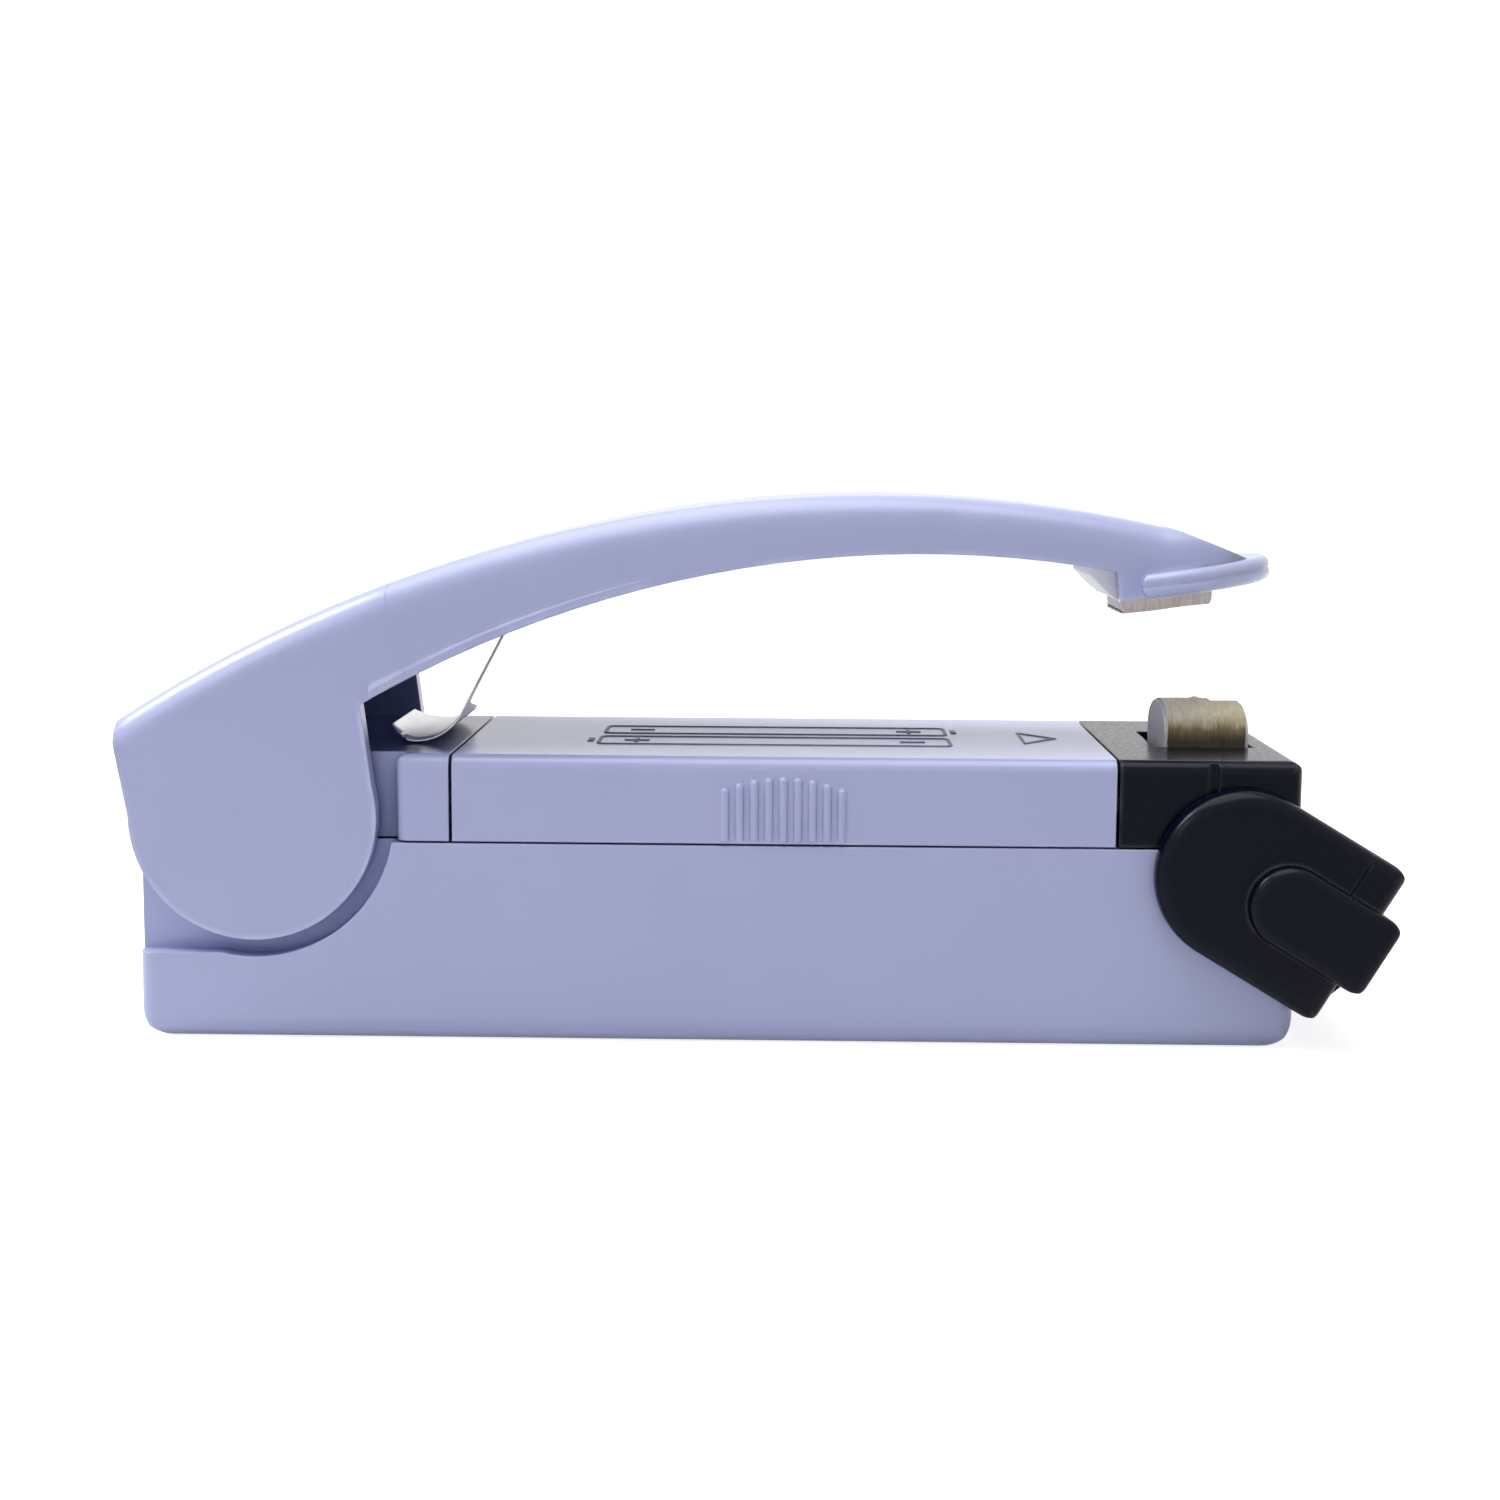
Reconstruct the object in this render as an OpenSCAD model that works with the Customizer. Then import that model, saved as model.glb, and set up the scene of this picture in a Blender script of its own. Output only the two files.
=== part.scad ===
// Handheld bag sealer: a battery powered jaw that welds the mouth of a plastic bag.
// +X points to the hot end, +Y across the body, +Z up; the base stands on z = 0.

/* [Body] */
// Length of the base behind the battery cover
tail_len = 29.1; // [28.5:0.1:32]
// Width of the base and of everything that lies flush with it
body_w = 34; // [32:0.1:38]
// Height of the base up to the parting line
base_h = 18.5; // [18:0.1:21]
// Height of the cover above the table
body_h = 26.6; // [25:0.1:30]
// Wall thickness of the moulded shells
wall = 1.7; // [1.2:0.1:2]
// Thickness of the base's floor
floor_t = 2; // [1.5:0.1:2.4]
// Radius of the upright edges
corner_r = 1.6; // [0.8:0.1:2.5]
// Radius of the base's lower edges along its sides
foot_r = 2; // [1:0.1:2.4]
// Radius of the base's lower edges at its two ends
heel_r = 3.4; // [2:0.1:4]
// Radius of the top edges
edge_r = 1.2; // [0.6:0.1:1.6]
// Gap at the seams between moulded pieces
seam = 0.2; // [0.1:0.05:0.3]

/* [Battery bay] */
// Length of the cover
cover_len = 60.4; // [59:0.1:62]
// Gap at each end of the cover
cover_gap = 0.3; // [0.2:0.05:0.5]
// Grip ribs on each skirt of the cover
rib_count = 9; // [5:2:11]
// Distance from rib to rib
rib_pitch = 1.33; // [1.2:0.01:1.6]
// Radius of a rib
rib_r = 0.4; // [0.25:0.05:0.5]
// Diameter of a cell
cell_d = 14.3; // [14:0.1:14.5]
// Length of a cell's can, without the button
cell_len = 49; // [48.5:0.1:49.5]
// Gap between the two cells
cell_gap = 0.5; // [0.4:0.1:1]

/* [Lever] */
// Distance of the hinge pin from the base's rear end
hinge_in = 10.75; // [10:0.05:12]
// Height of the hinge pin above the parting line
hinge_up = 2.25; // [2.2:0.05:3]
// Radius of the hinge pin
pin_r = 2; // [1.5:0.1:2.5]
// Clearance round pins
pin_clear = 0.05; // [0.02:0.01:0.1]
// Radius of the round lower end of a cheek
cheek_r = 11.4; // [10.5:0.1:12]
// Thickness of a cheek
cheek_t = 2; // [1.6:0.1:2.4]
// Clearance between a cheek and the base
cheek_gap = 0.3; // [0.25:0.05:0.5]
// Clearance round a cheek's lower end
pocket_gap = 1.6; // [1.2:0.1:2]
// Radius of the lever's back
back_r = 128; // [124:0.5:132]
// How far the top of the back lies in front of the lever's middle
crown_on = 15.2; // [14:0.1:17]
// Height of the back above the heater
crown_h = 19.4; // [19:0.05:20.3]
// Radius of the lever's lower edge
belly_r = 101.7; // [98:0.1:105]
// How far the top of the lower edge lies in front of the lever's middle
belly_on = 19; // [17:0.1:20]
// Height of the lower edge above the heater
belly_h = 14.1; // [13.3:0.05:14.8]
// Wall thickness of the lever
lever_wall = 1.9; // [1.5:0.1:2.2]
// Radius of the lever's rounded back edges
lever_r = 2.4; // [1.5:0.1:3]
// Half of the lever's width at the nose
nose_w = 8.8; // [8.4:0.1:9.4]
// How far the nose's round end is centred behind the heater
nose_back = 4.3; // [3.8:0.1:5.3]
// Slope of the nose's underside in degrees, also the stroke of the lever
nose_tilt = 7.4; // [7:0.05:7.6]
// Radius at which the back turns down to the nose
toe_r = 20; // [15:0.5:30]
// Slope of the nose's top in degrees
toe_slope = 21; // [18:0.5:24]
// Overhang of the lip round the nose
lip_out = 2; // [1.2:0.1:2.2]
// Radius of the lip's two beads
lip_r = 0.7; // [0.6:0.05:0.9]
// Distance between the lip's two beads
lip_step = 0.85; // [0.7:0.05:1]
// Thickness of the leaf spring
leaf_t = 0.2; // [0.15:0.01:0.5]
// Width of the leaf spring's foot
leaf_w = 20; // [16:0.1:22]
// Distance of the leaf spring's near edge from the middle
leaf_y = 8.5; // [7:0.1:10]
// Width of the leaf spring's stem
stem_w = 1.8; // [1.4:0.1:4]

/* [Hot end] */
// Distance from the cover to the middle of the heater
heater_in = 9.9; // [9.6:0.1:11]
// Distance from the heater to the base's front end
front_room = 2.8; // [2.7:0.1:4]
// Length of the heater along the body
heater_len = 8; // [7:0.1:8.4]
// Half width of the heater
heater_w = 5.6; // [5:0.1:5.8]
// Radius of the heater's arched top
heater_r = 9; // [8:0.1:11]
// Radius of the heater's shoulders
shoulder_r = 2.2; // [1.5:0.1:2.8]
// How far the heater with its tape stands out of the housing
heater_out = 4.2; // [4:0.05:4.4]
// How far the heater sinks when the lever is pressed
press_travel = 2.35; // [2.3:0.05:2.6]
// Thickness of the tape and the ridge in it
tape_t = 0.2; // [0.15:0.01:0.25]
// Gap between the slot and the heater
slot_gap = 0.7; // [0.5:0.05:0.9]
// How far the slot lies behind the middle of the heater
slot_back = 0.35; // [0:0.05:0.4]
// Wire radius of the return spring
coil_wire = 0.4; // [0.3:0.05:0.45]
// Radius of the return spring
coil_r = 3.6; // [3.3:0.1:4]
// Turns of the return spring
coil_turns = 5; // [4:0.5:6]

/* [Guard] */
// Distance of the guard's pivot from the base's front end
guard_in = 5.25; // [4.5:0.05:6.5]
// Depth of the guard's pivot below the parting line
guard_drop = 2.25; // [2:0.05:3]
// Radius of the guard's round ears
ear_r = 8; // [7:0.05:8.2]
// Length of the near ear from the pivot to its end
ear_len = 12.5; // [11.5:0.1:13]
// Length of the far ear from the pivot to its end
far_len = 8.4; // [8:0.1:12]
// Thickness of an ear
ear_t = 2.2; // [1.8:0.1:2.6]
// Radius of an ear's rounded rim
ear_rim = 1.4; // [0.6:0.1:1.6]
// Clearance between an ear and the body
ear_gap = 0.3; // [0.2:0.05:0.5]
// Slope of the resting guard in degrees below level
guard_rest = 31; // [28:1:33]
// Thickness of the thumb bar on an ear
bar_t = 1.8; // [1.2:0.1:2.2]
// Half width of the thumb bar
bar_w = 3.75; // [3:0.05:4.2]
// Length of the thumb bar from the pivot to its end
bar_len = 14.2; // [13:0.1:15]
// Radius of the thumb bar's rounded rim
bar_rim = 1; // [0.5:0.1:1.4]
// Radius of the stubs that the guard turns on
stub_r = 2.2; // [1.8:0.1:2.3]

/* [Hidden] */
front_len = heater_in + heater_len / 2 + front_room;
base_len = tail_len + cover_len + front_len;
half_len = base_len / 2;
half_w = body_w / 2;
cover_x = tail_len - half_len;
cover_end = cover_x + cover_len;
cover_mid = (cover_x + cover_end) / 2;
hinge_x = hinge_in - half_len;
hinge_z = base_h + hinge_up;
block_x = hinge_x + cheek_r + pocket_gap + 0.2;
front_x = half_len + 0.15;
cheek_in = half_w - cheek_t;
pocket_y = cheek_in - cheek_gap;
housing_y = pocket_y - 0.1;
heater_x = cover_end + heater_in;
heater_top = body_h + heater_out;
nose_x = heater_x - nose_back;
nose_x0 = nose_x - 4.7;
tip_x = nose_x + nose_w + 1;
lever_mid = (hinge_x + nose_x) / 2;
crown_x = lever_mid + crown_on;
crown_z = heater_top + crown_h;
belly_x = lever_mid + belly_on;
belly_z = heater_top + belly_h;
back_c = crown_z - back_r;
belly_c = belly_z - belly_r;
taper_x = hinge_x + cheek_r + 1;
taper = (half_w - nose_w) / (nose_x - taper_x);
tail_x = hinge_x - cheek_r - 1.25;
brow_x = hinge_x + cheek_r - 1.45;
roof_r = back_r - lever_wall;
// The pad hangs so far below the nose, and stops so far above the sunk heater
pad_h = 1.55;
pad_stop = 0.08;
nose_z = hinge_z + (heater_top - press_travel + pad_stop + pad_h - hinge_z
                    + (nose_x0 - hinge_x) * sin(nose_tilt)) / cos(nose_tilt);
// Centre of the bend above the nose, and where the slope leaves it
toe_a = asin((nose_x - crown_x) / back_r);
toe_x = nose_x - toe_r * sin(toe_a + 3);
toe_z = back_c + back_r * cos(toe_a) - toe_r * cos(toe_a + 3);
slope_x = toe_x + toe_r * sin(toe_slope);
slope_z = toe_z + toe_r * cos(toe_slope);
// The leaf spring's foot curls up from the block; its stem meets the lever's roof at root_x
foot_x = block_x + 0.55;
foot_z = body_h + 0.15;
curl_r = 5;
leaf_lean = 28;
leaf_r = roof_r - 0.02;
stem_x = foot_x + curl_r * cos(leaf_lean);
stem_z = foot_z + curl_r - curl_r * sin(leaf_lean);
stem_b = (stem_x - crown_x) * sin(leaf_lean) + (stem_z - back_c) * cos(leaf_lean);
stem_c = pow(stem_x - crown_x, 2) + pow(stem_z - back_c, 2) - leaf_r * leaf_r;
root_x = stem_x + (sqrt(stem_b * stem_b - stem_c) - stem_b) * sin(leaf_lean);
cell_pitch = cell_d + cell_gap;
cell_y = cell_pitch / 2;
cell_z = floor_t + cell_d / 2 + 0.1;
cell_x = cover_mid - 1;
bay_rear = cell_x - cell_len / 2 - 3.4;
bay_front = cell_x + cell_len / 2 + 3.4;
tongue_z = base_h + seam + 2.6;
slot_x = heater_len / 2 + slot_gap;
slot_y = heater_w + slot_gap;
flange_y = slot_y + 0.9;
roof_z = body_h - wall;
flange_z = roof_z - 0.05;
step_x = heater_x + 0.95;
step_t = 0.25;
coil_top = flange_z - 2.6;
coil_seat = base_h - 6.5;
post_r = 2.2;
lead_y = flange_y + 1.2;
lead_z = base_h - 4.1;
lead_t = 0.4;
guard_x = half_len - guard_in;
guard_z = base_h - guard_drop;
ear_y = half_w + ear_gap;
hood_in = 12.3;
hood_out = 13.6;
hood_up = 14;
hood_down = 28;
joint_u = 8.6;
screw_r = 1.25;
pillar_r = 2.4;
rear_screws = [[hinge_x + 6.35, 8.5], [hinge_x + 6.35, -8.5]];
front_screws = [[heater_x - 6, half_w - 4.4], [heater_x - 6, 4.4 - half_w]];
tiny = 0.01;
$fn = 96;

// A rectangle from corner (a, c) to corner (b, d), round at the top by rt and at the bottom by rb.
module soft_rect(a, b, c, d, rt, rb)
{
    translate([a, c + rb])
        square([b - a, d - c - rt - rb]);
    translate([a + rb, c])
        square([b - a - 2 * rb, rb + tiny]);
    translate([a + rt, d - rt - tiny])
        square([b - a - 2 * rt, rt + tiny]);
    for (x = [a + rt, b - rt])
        if (rt > 0)
            translate([x, d - rt])
                circle(rt);
    for (x = [a + rb, b - rb])
        if (rb > 0)
            translate([x, c + rb])
                circle(rb);
}

// Stands an outline drawn in x and z upright and gives it the width w, centred on y = 0.
module side_on(w)
{
    rotate([90, 0, 0])
        translate([0, 0, -w / 2])
            linear_extrude(w)
                children();
}

// Stands an outline drawn in y and z upright and stretches it from x = a to x = b.
module end_on(a, b)
{
    translate([a, 0, 0])
        rotate([90, 0, 90])
            linear_extrude(b - a)
                children();
}

// A box with round upright edges rv, top edges rt and bottom edges rb.
module soft_box(a, b, w, c, d, rv, rt, rb)
{
    intersection()
    {
        translate([0, 0, c])
            linear_extrude(d - c)
                soft_rect(a, b, -w, w, rv, rv);
        side_on(2 * w)
            soft_rect(a, b, c, d, rt, rb);
        end_on(a, b)
            soft_rect(-w, w, c, d, rt, rb);
    }
}

// A plain box between two corners.
module box(p, q)
{
    translate(p)
        cube(q - p);
}

// A pin lying across the body.
module cross_pin(x, z, r, a, b)
{
    translate([x, a, z])
        rotate([-90, 0, 0])
            cylinder(r = r, h = b - a);
}

module on_both_sides()
{
    children();
    mirror([0, 1, 0])
        children();
}

// The space in which a cheek of the lever swings.
module cheek_pocket()
{
    rotate([90, 0, 0])
        translate([0, 0, pocket_y])
            linear_extrude(cheek_t + 2)
            {
                translate([hinge_x, hinge_z])
                    circle(cheek_r + pocket_gap);
                polygon([[hinge_x, hinge_z + 8], [hinge_x, hinge_z - cheek_r - pocket_gap + 0.4],
                         [-half_len - 2, 8], [-half_len - 2, hinge_z + 8]]);
            }
}

// The base before it is hollowed, with a larger radius below its two ends.
module base_block()
{
    intersection()
    {
        linear_extrude(base_h)
            soft_rect(-half_len, half_len, -half_w, half_w, corner_r, corner_r);
        side_on(body_w)
            soft_rect(-half_len, half_len, 0, base_h, 0, heel_r);
        end_on(-half_len, half_len)
            soft_rect(-half_w, half_w, 0, base_h, 0, foot_r);
    }
}

module base_shell()
{
    color([0.63, 0.65, 0.81])
    {
        difference()
        {
            union()
            {
                difference()
                {
                    base_block();
                    box([bay_rear - wall, -half_w + wall, floor_t],
                        [half_len - wall, half_w - wall, base_h + 1]);
                    box([-half_len + wall, -pocket_y + wall, floor_t],
                        [bay_rear, pocket_y - wall, base_h + 1]);
                }
                // Walls at the two ends of the battery bay
                for (x = [bay_rear - wall, bay_front])
                    box([x, -half_w + 1, 1], [x + wall, half_w - 1, base_h - seam]);
                // Seat and guide of the heater's return spring
                translate([heater_x, 0, 1])
                    cylinder(r = coil_r + 1.2, h = coil_seat - 1);
                // Pads under the two leads
                for (y = [-lead_y, lead_y])
                    box([heater_x - 2.5, y - 1.6, 1], [heater_x + 2.5, y + 1.6, lead_z]);
                for (p = concat(rear_screws, front_screws))
                    translate([p[0], p[1], 1])
                        cylinder(r = 3.4, h = 4);
                on_both_sides()
                    cross_pin(guard_x, guard_z, stub_r, half_w - 1, half_w + 1.2);
            }
            on_both_sides()
                cheek_pocket();
            translate([heater_x, 0, coil_seat - 6])
                cylinder(r = post_r + 0.1, h = coil_seat);
            // Room for the pillars of the housing in front
            for (p = front_screws)
                translate([p[0], p[1], 5.05])
                    cylinder(r = pillar_r + 0.25, h = base_h);
            for (p = concat(rear_screws, front_screws))
                translate([p[0], p[1], -1])
                {
                    cylinder(r = screw_r + 0.15, h = 8);
                    cylinder(r = 2.7, h = 4);
                }
            // Slots for the leads in the bay's front wall
            for (y = [-lead_y, lead_y])
                box([bay_front - 1, y - 1.6, lead_z - 0.1],
                    [bay_front + wall + 1, y + 1.6, lead_z + lead_t + 0.1]);
        }
    }
}

// Pillars that take the case screws, from the floor's bosses up into a housing.
module pillars(places, top)
{
    for (p = places)
        translate([p[0], p[1], 5.1])
            cylinder(r = pillar_r, h = top - 5.1);
}

module pilot_holes(places)
{
    for (p = places)
        translate([p[0], p[1], 4])
            cylinder(r = screw_r + 0.02, h = 10);
}

// Groove in a housing's end face in which the cover's tongue slides, open towards +Y.
module tongue_groove(x)
{
    box([x - 0.9, -half_w + 2.85, tongue_z], [x + 0.9, half_w + 1, tongue_z + 1.6]);
}

module rear_housing()
{
    color([0.63, 0.65, 0.81])
    {
        difference()
        {
            union()
            {
                intersection()
                {
                    soft_box(block_x, cover_x + 5, half_w, base_h + seam, body_h, edge_r, edge_r, 0);
                    box([block_x, -half_w, 0], [cover_x - cover_gap, half_w, body_h]);
                }
                intersection()
                {
                    side_on(2 * housing_y)
                    {
                        translate([hinge_x, hinge_z])
                            circle(9.4);
                        translate([hinge_x, base_h - 5])
                            square([block_x + 2 - hinge_x, body_h]);
                    }
                    box([hinge_x - 20, -half_w, base_h + seam], [block_x + 1, half_w, body_h]);
                }
            }
            // Hollow, open below
            intersection()
            {
                side_on(2 * (housing_y - wall))
                {
                    translate([hinge_x, hinge_z])
                        circle(9.4 - wall);
                    translate([hinge_x, 0])
                        square([cover_x - cover_gap - wall - hinge_x, body_h]);
                }
                box([hinge_x - 20, -half_w, 0], [cover_x, half_w, body_h - wall]);
            }
            cross_pin(hinge_x, hinge_z, pin_r + 0.02, -half_w, half_w);
            tongue_groove(cover_x - cover_gap);
        }
        // Tube that carries the hinge pin
        difference()
        {
            cross_pin(hinge_x, hinge_z, pin_r + 1.8, -housing_y + wall - 0.05, housing_y - wall + 0.05);
            cross_pin(hinge_x, hinge_z, pin_r + 0.02, -half_w, half_w);
        }
        difference()
        {
            pillars(rear_screws, body_h - wall + 0.2);
            pilot_holes(rear_screws);
        }
    }
}

module element_housing()
{
    color([0.06, 0.065, 0.1])
    {
        difference()
        {
            intersection()
            {
                soft_box(cover_end - 5, front_x, half_w, base_h + seam, body_h, edge_r, edge_r, 0);
                box([cover_end + cover_gap, -half_w, 0], [front_x, half_w, body_h]);
            }
            box([cover_end + cover_gap + wall + 0.2, -half_w + wall, 0],
                [front_x - wall, half_w - wall, roof_z]);
            box([heater_x - slot_back - slot_x, -slot_y, 0], [heater_x - slot_back + slot_x, slot_y, body_h + 1]);
            tongue_groove(cover_end + cover_gap);
            // Index groove down each side
            for (y = [-half_w, half_w])
                box([heater_x - 1.5, y - 0.5, 0], [heater_x - 0.7, y + 0.5, body_h + 1]);
        }
        difference()
        {
            pillars(front_screws, roof_z + 0.2);
            pilot_holes(front_screws);
        }
    }
}

module hinge_pin()
{
    color([0.75, 0.75, 0.77])
        cross_pin(hinge_x, hinge_z, pin_r, -half_w + 0.8, half_w - 0.8);
}

// One cell, its button towards +X when way is 1 and towards -X when way is -1.
module cell(y, way)
{
    translate([cell_x, y, cell_z])
        rotate([0, 90 * way, 0])
            rotate_extrude()
                polygon([[0, -cell_len / 2], [cell_d / 2 - 0.6, -cell_len / 2],
                         [cell_d / 2, -cell_len / 2 + 0.6], [cell_d / 2, cell_len / 2 - 0.8],
                         [cell_d / 2 - 0.8, cell_len / 2], [2.75, cell_len / 2],
                         [2.75, cell_len / 2 + 1.1], [2.45, cell_len / 2 + 1.4],
                         [0, cell_len / 2 + 1.4]]);
}

module cell_a()
{
    color([0.2, 0.2, 0.22])
        cell(-cell_y, 1);
}

module cell_b()
{
    color([0.2, 0.2, 0.22])
        cell(cell_y, -1);
}

// Bowed tongue that presses on the flat end of a cell, towards +X when way is 1.
module bowed_tongue(x, y, way)
{
    translate([x, y, cell_z])
        rotate([90, 0, 0])
            translate([-way * 3.85, 0, -2])
                linear_extrude(4)
                    intersection()
                    {
                        difference()
                        {
                            circle(6.9);
                            circle(6.5);
                        }
                        translate([way > 0 ? 3.85 : -6.95, -6])
                            square([3.1, 12]);
                    }
}

// The strip at the rear that joins the two cells.
module bridge_contact()
{
    color([0.8, 0.8, 0.8])
    {
        box([bay_rear, -cell_y - 4.5, cell_z - 5.5], [bay_rear + lead_t, cell_y + 4.5, cell_z + 5.5]);
        bowed_tongue(bay_rear + 0.3, -cell_y, 1);
        translate([bay_rear + 0.2, cell_y, cell_z])
            rotate([0, 90, 0])
                cylinder(r = 2, h = 1.75);
    }
}

// A front contact with its strip to the switch.
module lead(side)
{
    y = side * lead_y;
    box([bay_front - lead_t, side * cell_y - 4.5, cell_z - 5.5],
        [bay_front, side * cell_y + 4.5, lead_z + lead_t]);
    box([bay_front - lead_t, y - 1.4, lead_z], [heater_x + 2.2, y + 1.4, lead_z + lead_t]);
    translate([heater_x, y, lead_z])
        cylinder(r = 0.9, h = 0.7);
}

module lead_plus()
{
    color([0.8, 0.8, 0.8])
    {
        lead(-1);
        translate([bay_front - 1.95, -cell_y, cell_z])
            rotate([0, 90, 0])
                cylinder(r = 2, h = 1.8);
    }
}

module lead_minus()
{
    color([0.8, 0.8, 0.8])
    {
        lead(1);
        bowed_tongue(bay_front - 0.3, cell_y, -1);
    }
}

// Corners of one ring of the coil's wire, a turns round and z up.
function coil_ring(a, z) =
    [for (k = [0:5]) let (r = coil_r + coil_wire * cos(60 * k))
        [r * cos(360 * a), r * sin(360 * a), z + coil_wire * sin(60 * k)]];

// Coil spring under the heater, one unbroken tube.
module heater_spring()
{
    rings = coil_turns * 8;
    z0 = coil_seat + coil_wire + 0.02;
    z1 = coil_top - coil_wire - 0.02;
    points = [for (i = [0:rings]) each coil_ring(i / 8, z0 + (z1 - z0) * i / rings)];
    sides = [for (i = [0:rings - 1], k = [0:5])
                [i * 6 + k, i * 6 + (k + 1) % 6, i * 6 + 6 + (k + 1) % 6, i * 6 + 6 + k]];
    tips = [[for (k = [5:-1:0]) k], [for (k = [0:5]) rings * 6 + k]];
    echo(coil_gap_open = (z1 - z0) / coil_turns - 2 * coil_wire,
         coil_gap_pressed = (z1 - z0 - press_travel) / coil_turns - 2 * coil_wire);
    color([0.75, 0.75, 0.77])
        translate([heater_x, 0, 0])
            polyhedron(points, concat(sides, tips), convexity = 8);
}

module case_screws()
{
    color([0.7, 0.7, 0.72])
        for (p = concat(rear_screws, front_screws))
            translate([p[0], p[1], 0])
                difference()
                {
                    union()
                    {
                        translate([0, 0, 1.4])
                            cylinder(r = 2.5, h = 1.6);
                        translate([0, 0, 2.9])
                            cylinder(r = screw_r, h = 8);
                    }
                    box([-1.6, -0.3, 1], [1.6, 0.3, 2.1]);
                    box([-0.3, -1.6, 1], [0.3, 1.6, 2.1]);
                }
}

// Outline of the heater's arch, grown by g, drawn in y and z down to the height z.
module arch(g, z)
{
    y = heater_w - shoulder_r;
    top = heater_top - tape_t;
    rise = sqrt(pow(heater_r - shoulder_r, 2) - y * y);
    shoulder = top - heater_r + rise;
    bend = (heater_r + g) * y / (heater_r - shoulder_r);
    intersection()
    {
        translate([0, top - heater_r])
            circle(heater_r + g);
        translate([-bend, shoulder - 1])
            square([2 * bend, heater_r]);
    }
    for (side = [-y, y])
        translate([side, shoulder])
            circle(shoulder_r + g);
    translate([-heater_w - g, z])
        square([2 * (heater_w + g), shoulder - z]);
}

module heater_carrier()
{
    color([0.9, 0.9, 0.9])
    {
        // The front of the arch lies a little lower than its ridge
        end_on(heater_x - heater_len / 2, step_x - 0.02)
            arch(-0.12, coil_top + 0.6);
        end_on(step_x - 1, heater_x + heater_len / 2)
            arch(-0.12 - step_t, coil_top + 0.6);
        // Flange with four stops under the roof
        rear = heater_x - slot_x - 0.6;
        front = heater_x + heater_len / 2 + front_room - wall;
        box([rear, -flange_y, coil_top], [front, flange_y, coil_top + 1.4]);
        for (x = [rear, front - 1], y = [-flange_y, flange_y - 0.7])
            box([x, y, coil_top], [x + 1, y + 0.7, flange_z]);
        translate([heater_x, 0, coil_seat - 2.8])
            cylinder(r = post_r, h = coil_top - coil_seat + 3);
    }
}

// Resistance ribbon over the arch.
module heater_ribbon()
{
    color([0.6, 0.58, 0.55])
        end_on(heater_x - 0.9, heater_x + 0.9)
            difference()
            {
                arch(-0.02, coil_top + 1.6);
                arch(-0.12, coil_top);
            }
}

// Woven tape over the ribbon, with the ridge that the ribbon leaves in it.
module heater_tape()
{
    color([0.72, 0.6, 0.42])
    {
        end_on(heater_x - heater_len / 2 + 0.3, step_x + 0.1)
            difference()
            {
                arch(tape_t / 2 - 0.02, coil_top + 2);
                arch(-0.01, coil_top);
            }
        end_on(step_x, step_x + 0.1)
            difference()
            {
                arch(0, coil_top + 2);
                arch(-step_t - 0.01, coil_top);
            }
        end_on(step_x + 0.05, heater_x + heater_len / 2 - 0.2)
            difference()
            {
                arch(tape_t / 2 - 0.02 - step_t, coil_top + 2);
                arch(-step_t - 0.01, coil_top);
            }
        end_on(heater_x - 0.6, heater_x + 0.6)
            difference()
            {
                arch(tape_t - 0.02, coil_top + 2.4);
                arch(tape_t / 4, coil_top);
            }
    }
}

// Two legs that carry the current from the leads to the ribbon when the heater sinks.
module moving_contacts()
{
    foot = lead_z + 0.7 + press_travel + 0.05;
    color([0.8, 0.62, 0.3])
        on_both_sides()
        {
            leg = flange_y + 0.02;
            box([heater_x - 1, leg, foot], [heater_x + 1, leg + lead_t, coil_top + 1.8]);
            box([heater_x - 1, leg, foot], [heater_x + 1, lead_y + 1, foot + lead_t]);
            box([heater_x - 1, heater_w - 0.02, coil_top + 1.42], [heater_x + 1, leg + lead_t, coil_top + 1.8]);
        }
}

// Ring about the lever's arc with one rounded rim in the plane y = 0, growing slightly inwards.
module rim_ring()
{
    rotate([-90, 0, 0])
        rotate_extrude($fn = 180)
        {
            polygon([[back_r - 30, 0], [back_r - lever_r, 0], [back_r - lever_r, lever_r],
                     [back_r, lever_r], [back_r + 2, 40], [back_r - 30, 40]]);
            translate([back_r - lever_r, lever_r])
                circle(lever_r);
        }
}

// The side of the lever that faces -Y, leaning inwards towards the nose.
module tapered_side()
{
    translate([crown_x, -half_w + (crown_x - taper_x) * taper, back_c])
        rotate([0, 0, atan(taper)])
            rim_ring();
}

// What lies under the lever's back: all behind the bend, the bend and the slope in front of it.
module under_toe()
{
    start = tail_x - 5;
    end = tip_x + 2;
    intersection()
    {
        union()
        {
            translate([start, 0])
                square([nose_x - 1.2 - start, 90]);
            translate([toe_x, toe_z])
                circle(toe_r, $fn = 180);
            translate([slope_x, 0])
                square([end - slope_x, 90]);
        }
        polygon([[start, 0], [start, slope_z - 0.03 + (slope_x - start) * tan(toe_slope)],
                 [end, slope_z - 0.03 - (end - slope_x) * tan(toe_slope)], [end, 0]]);
    }
}

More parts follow.
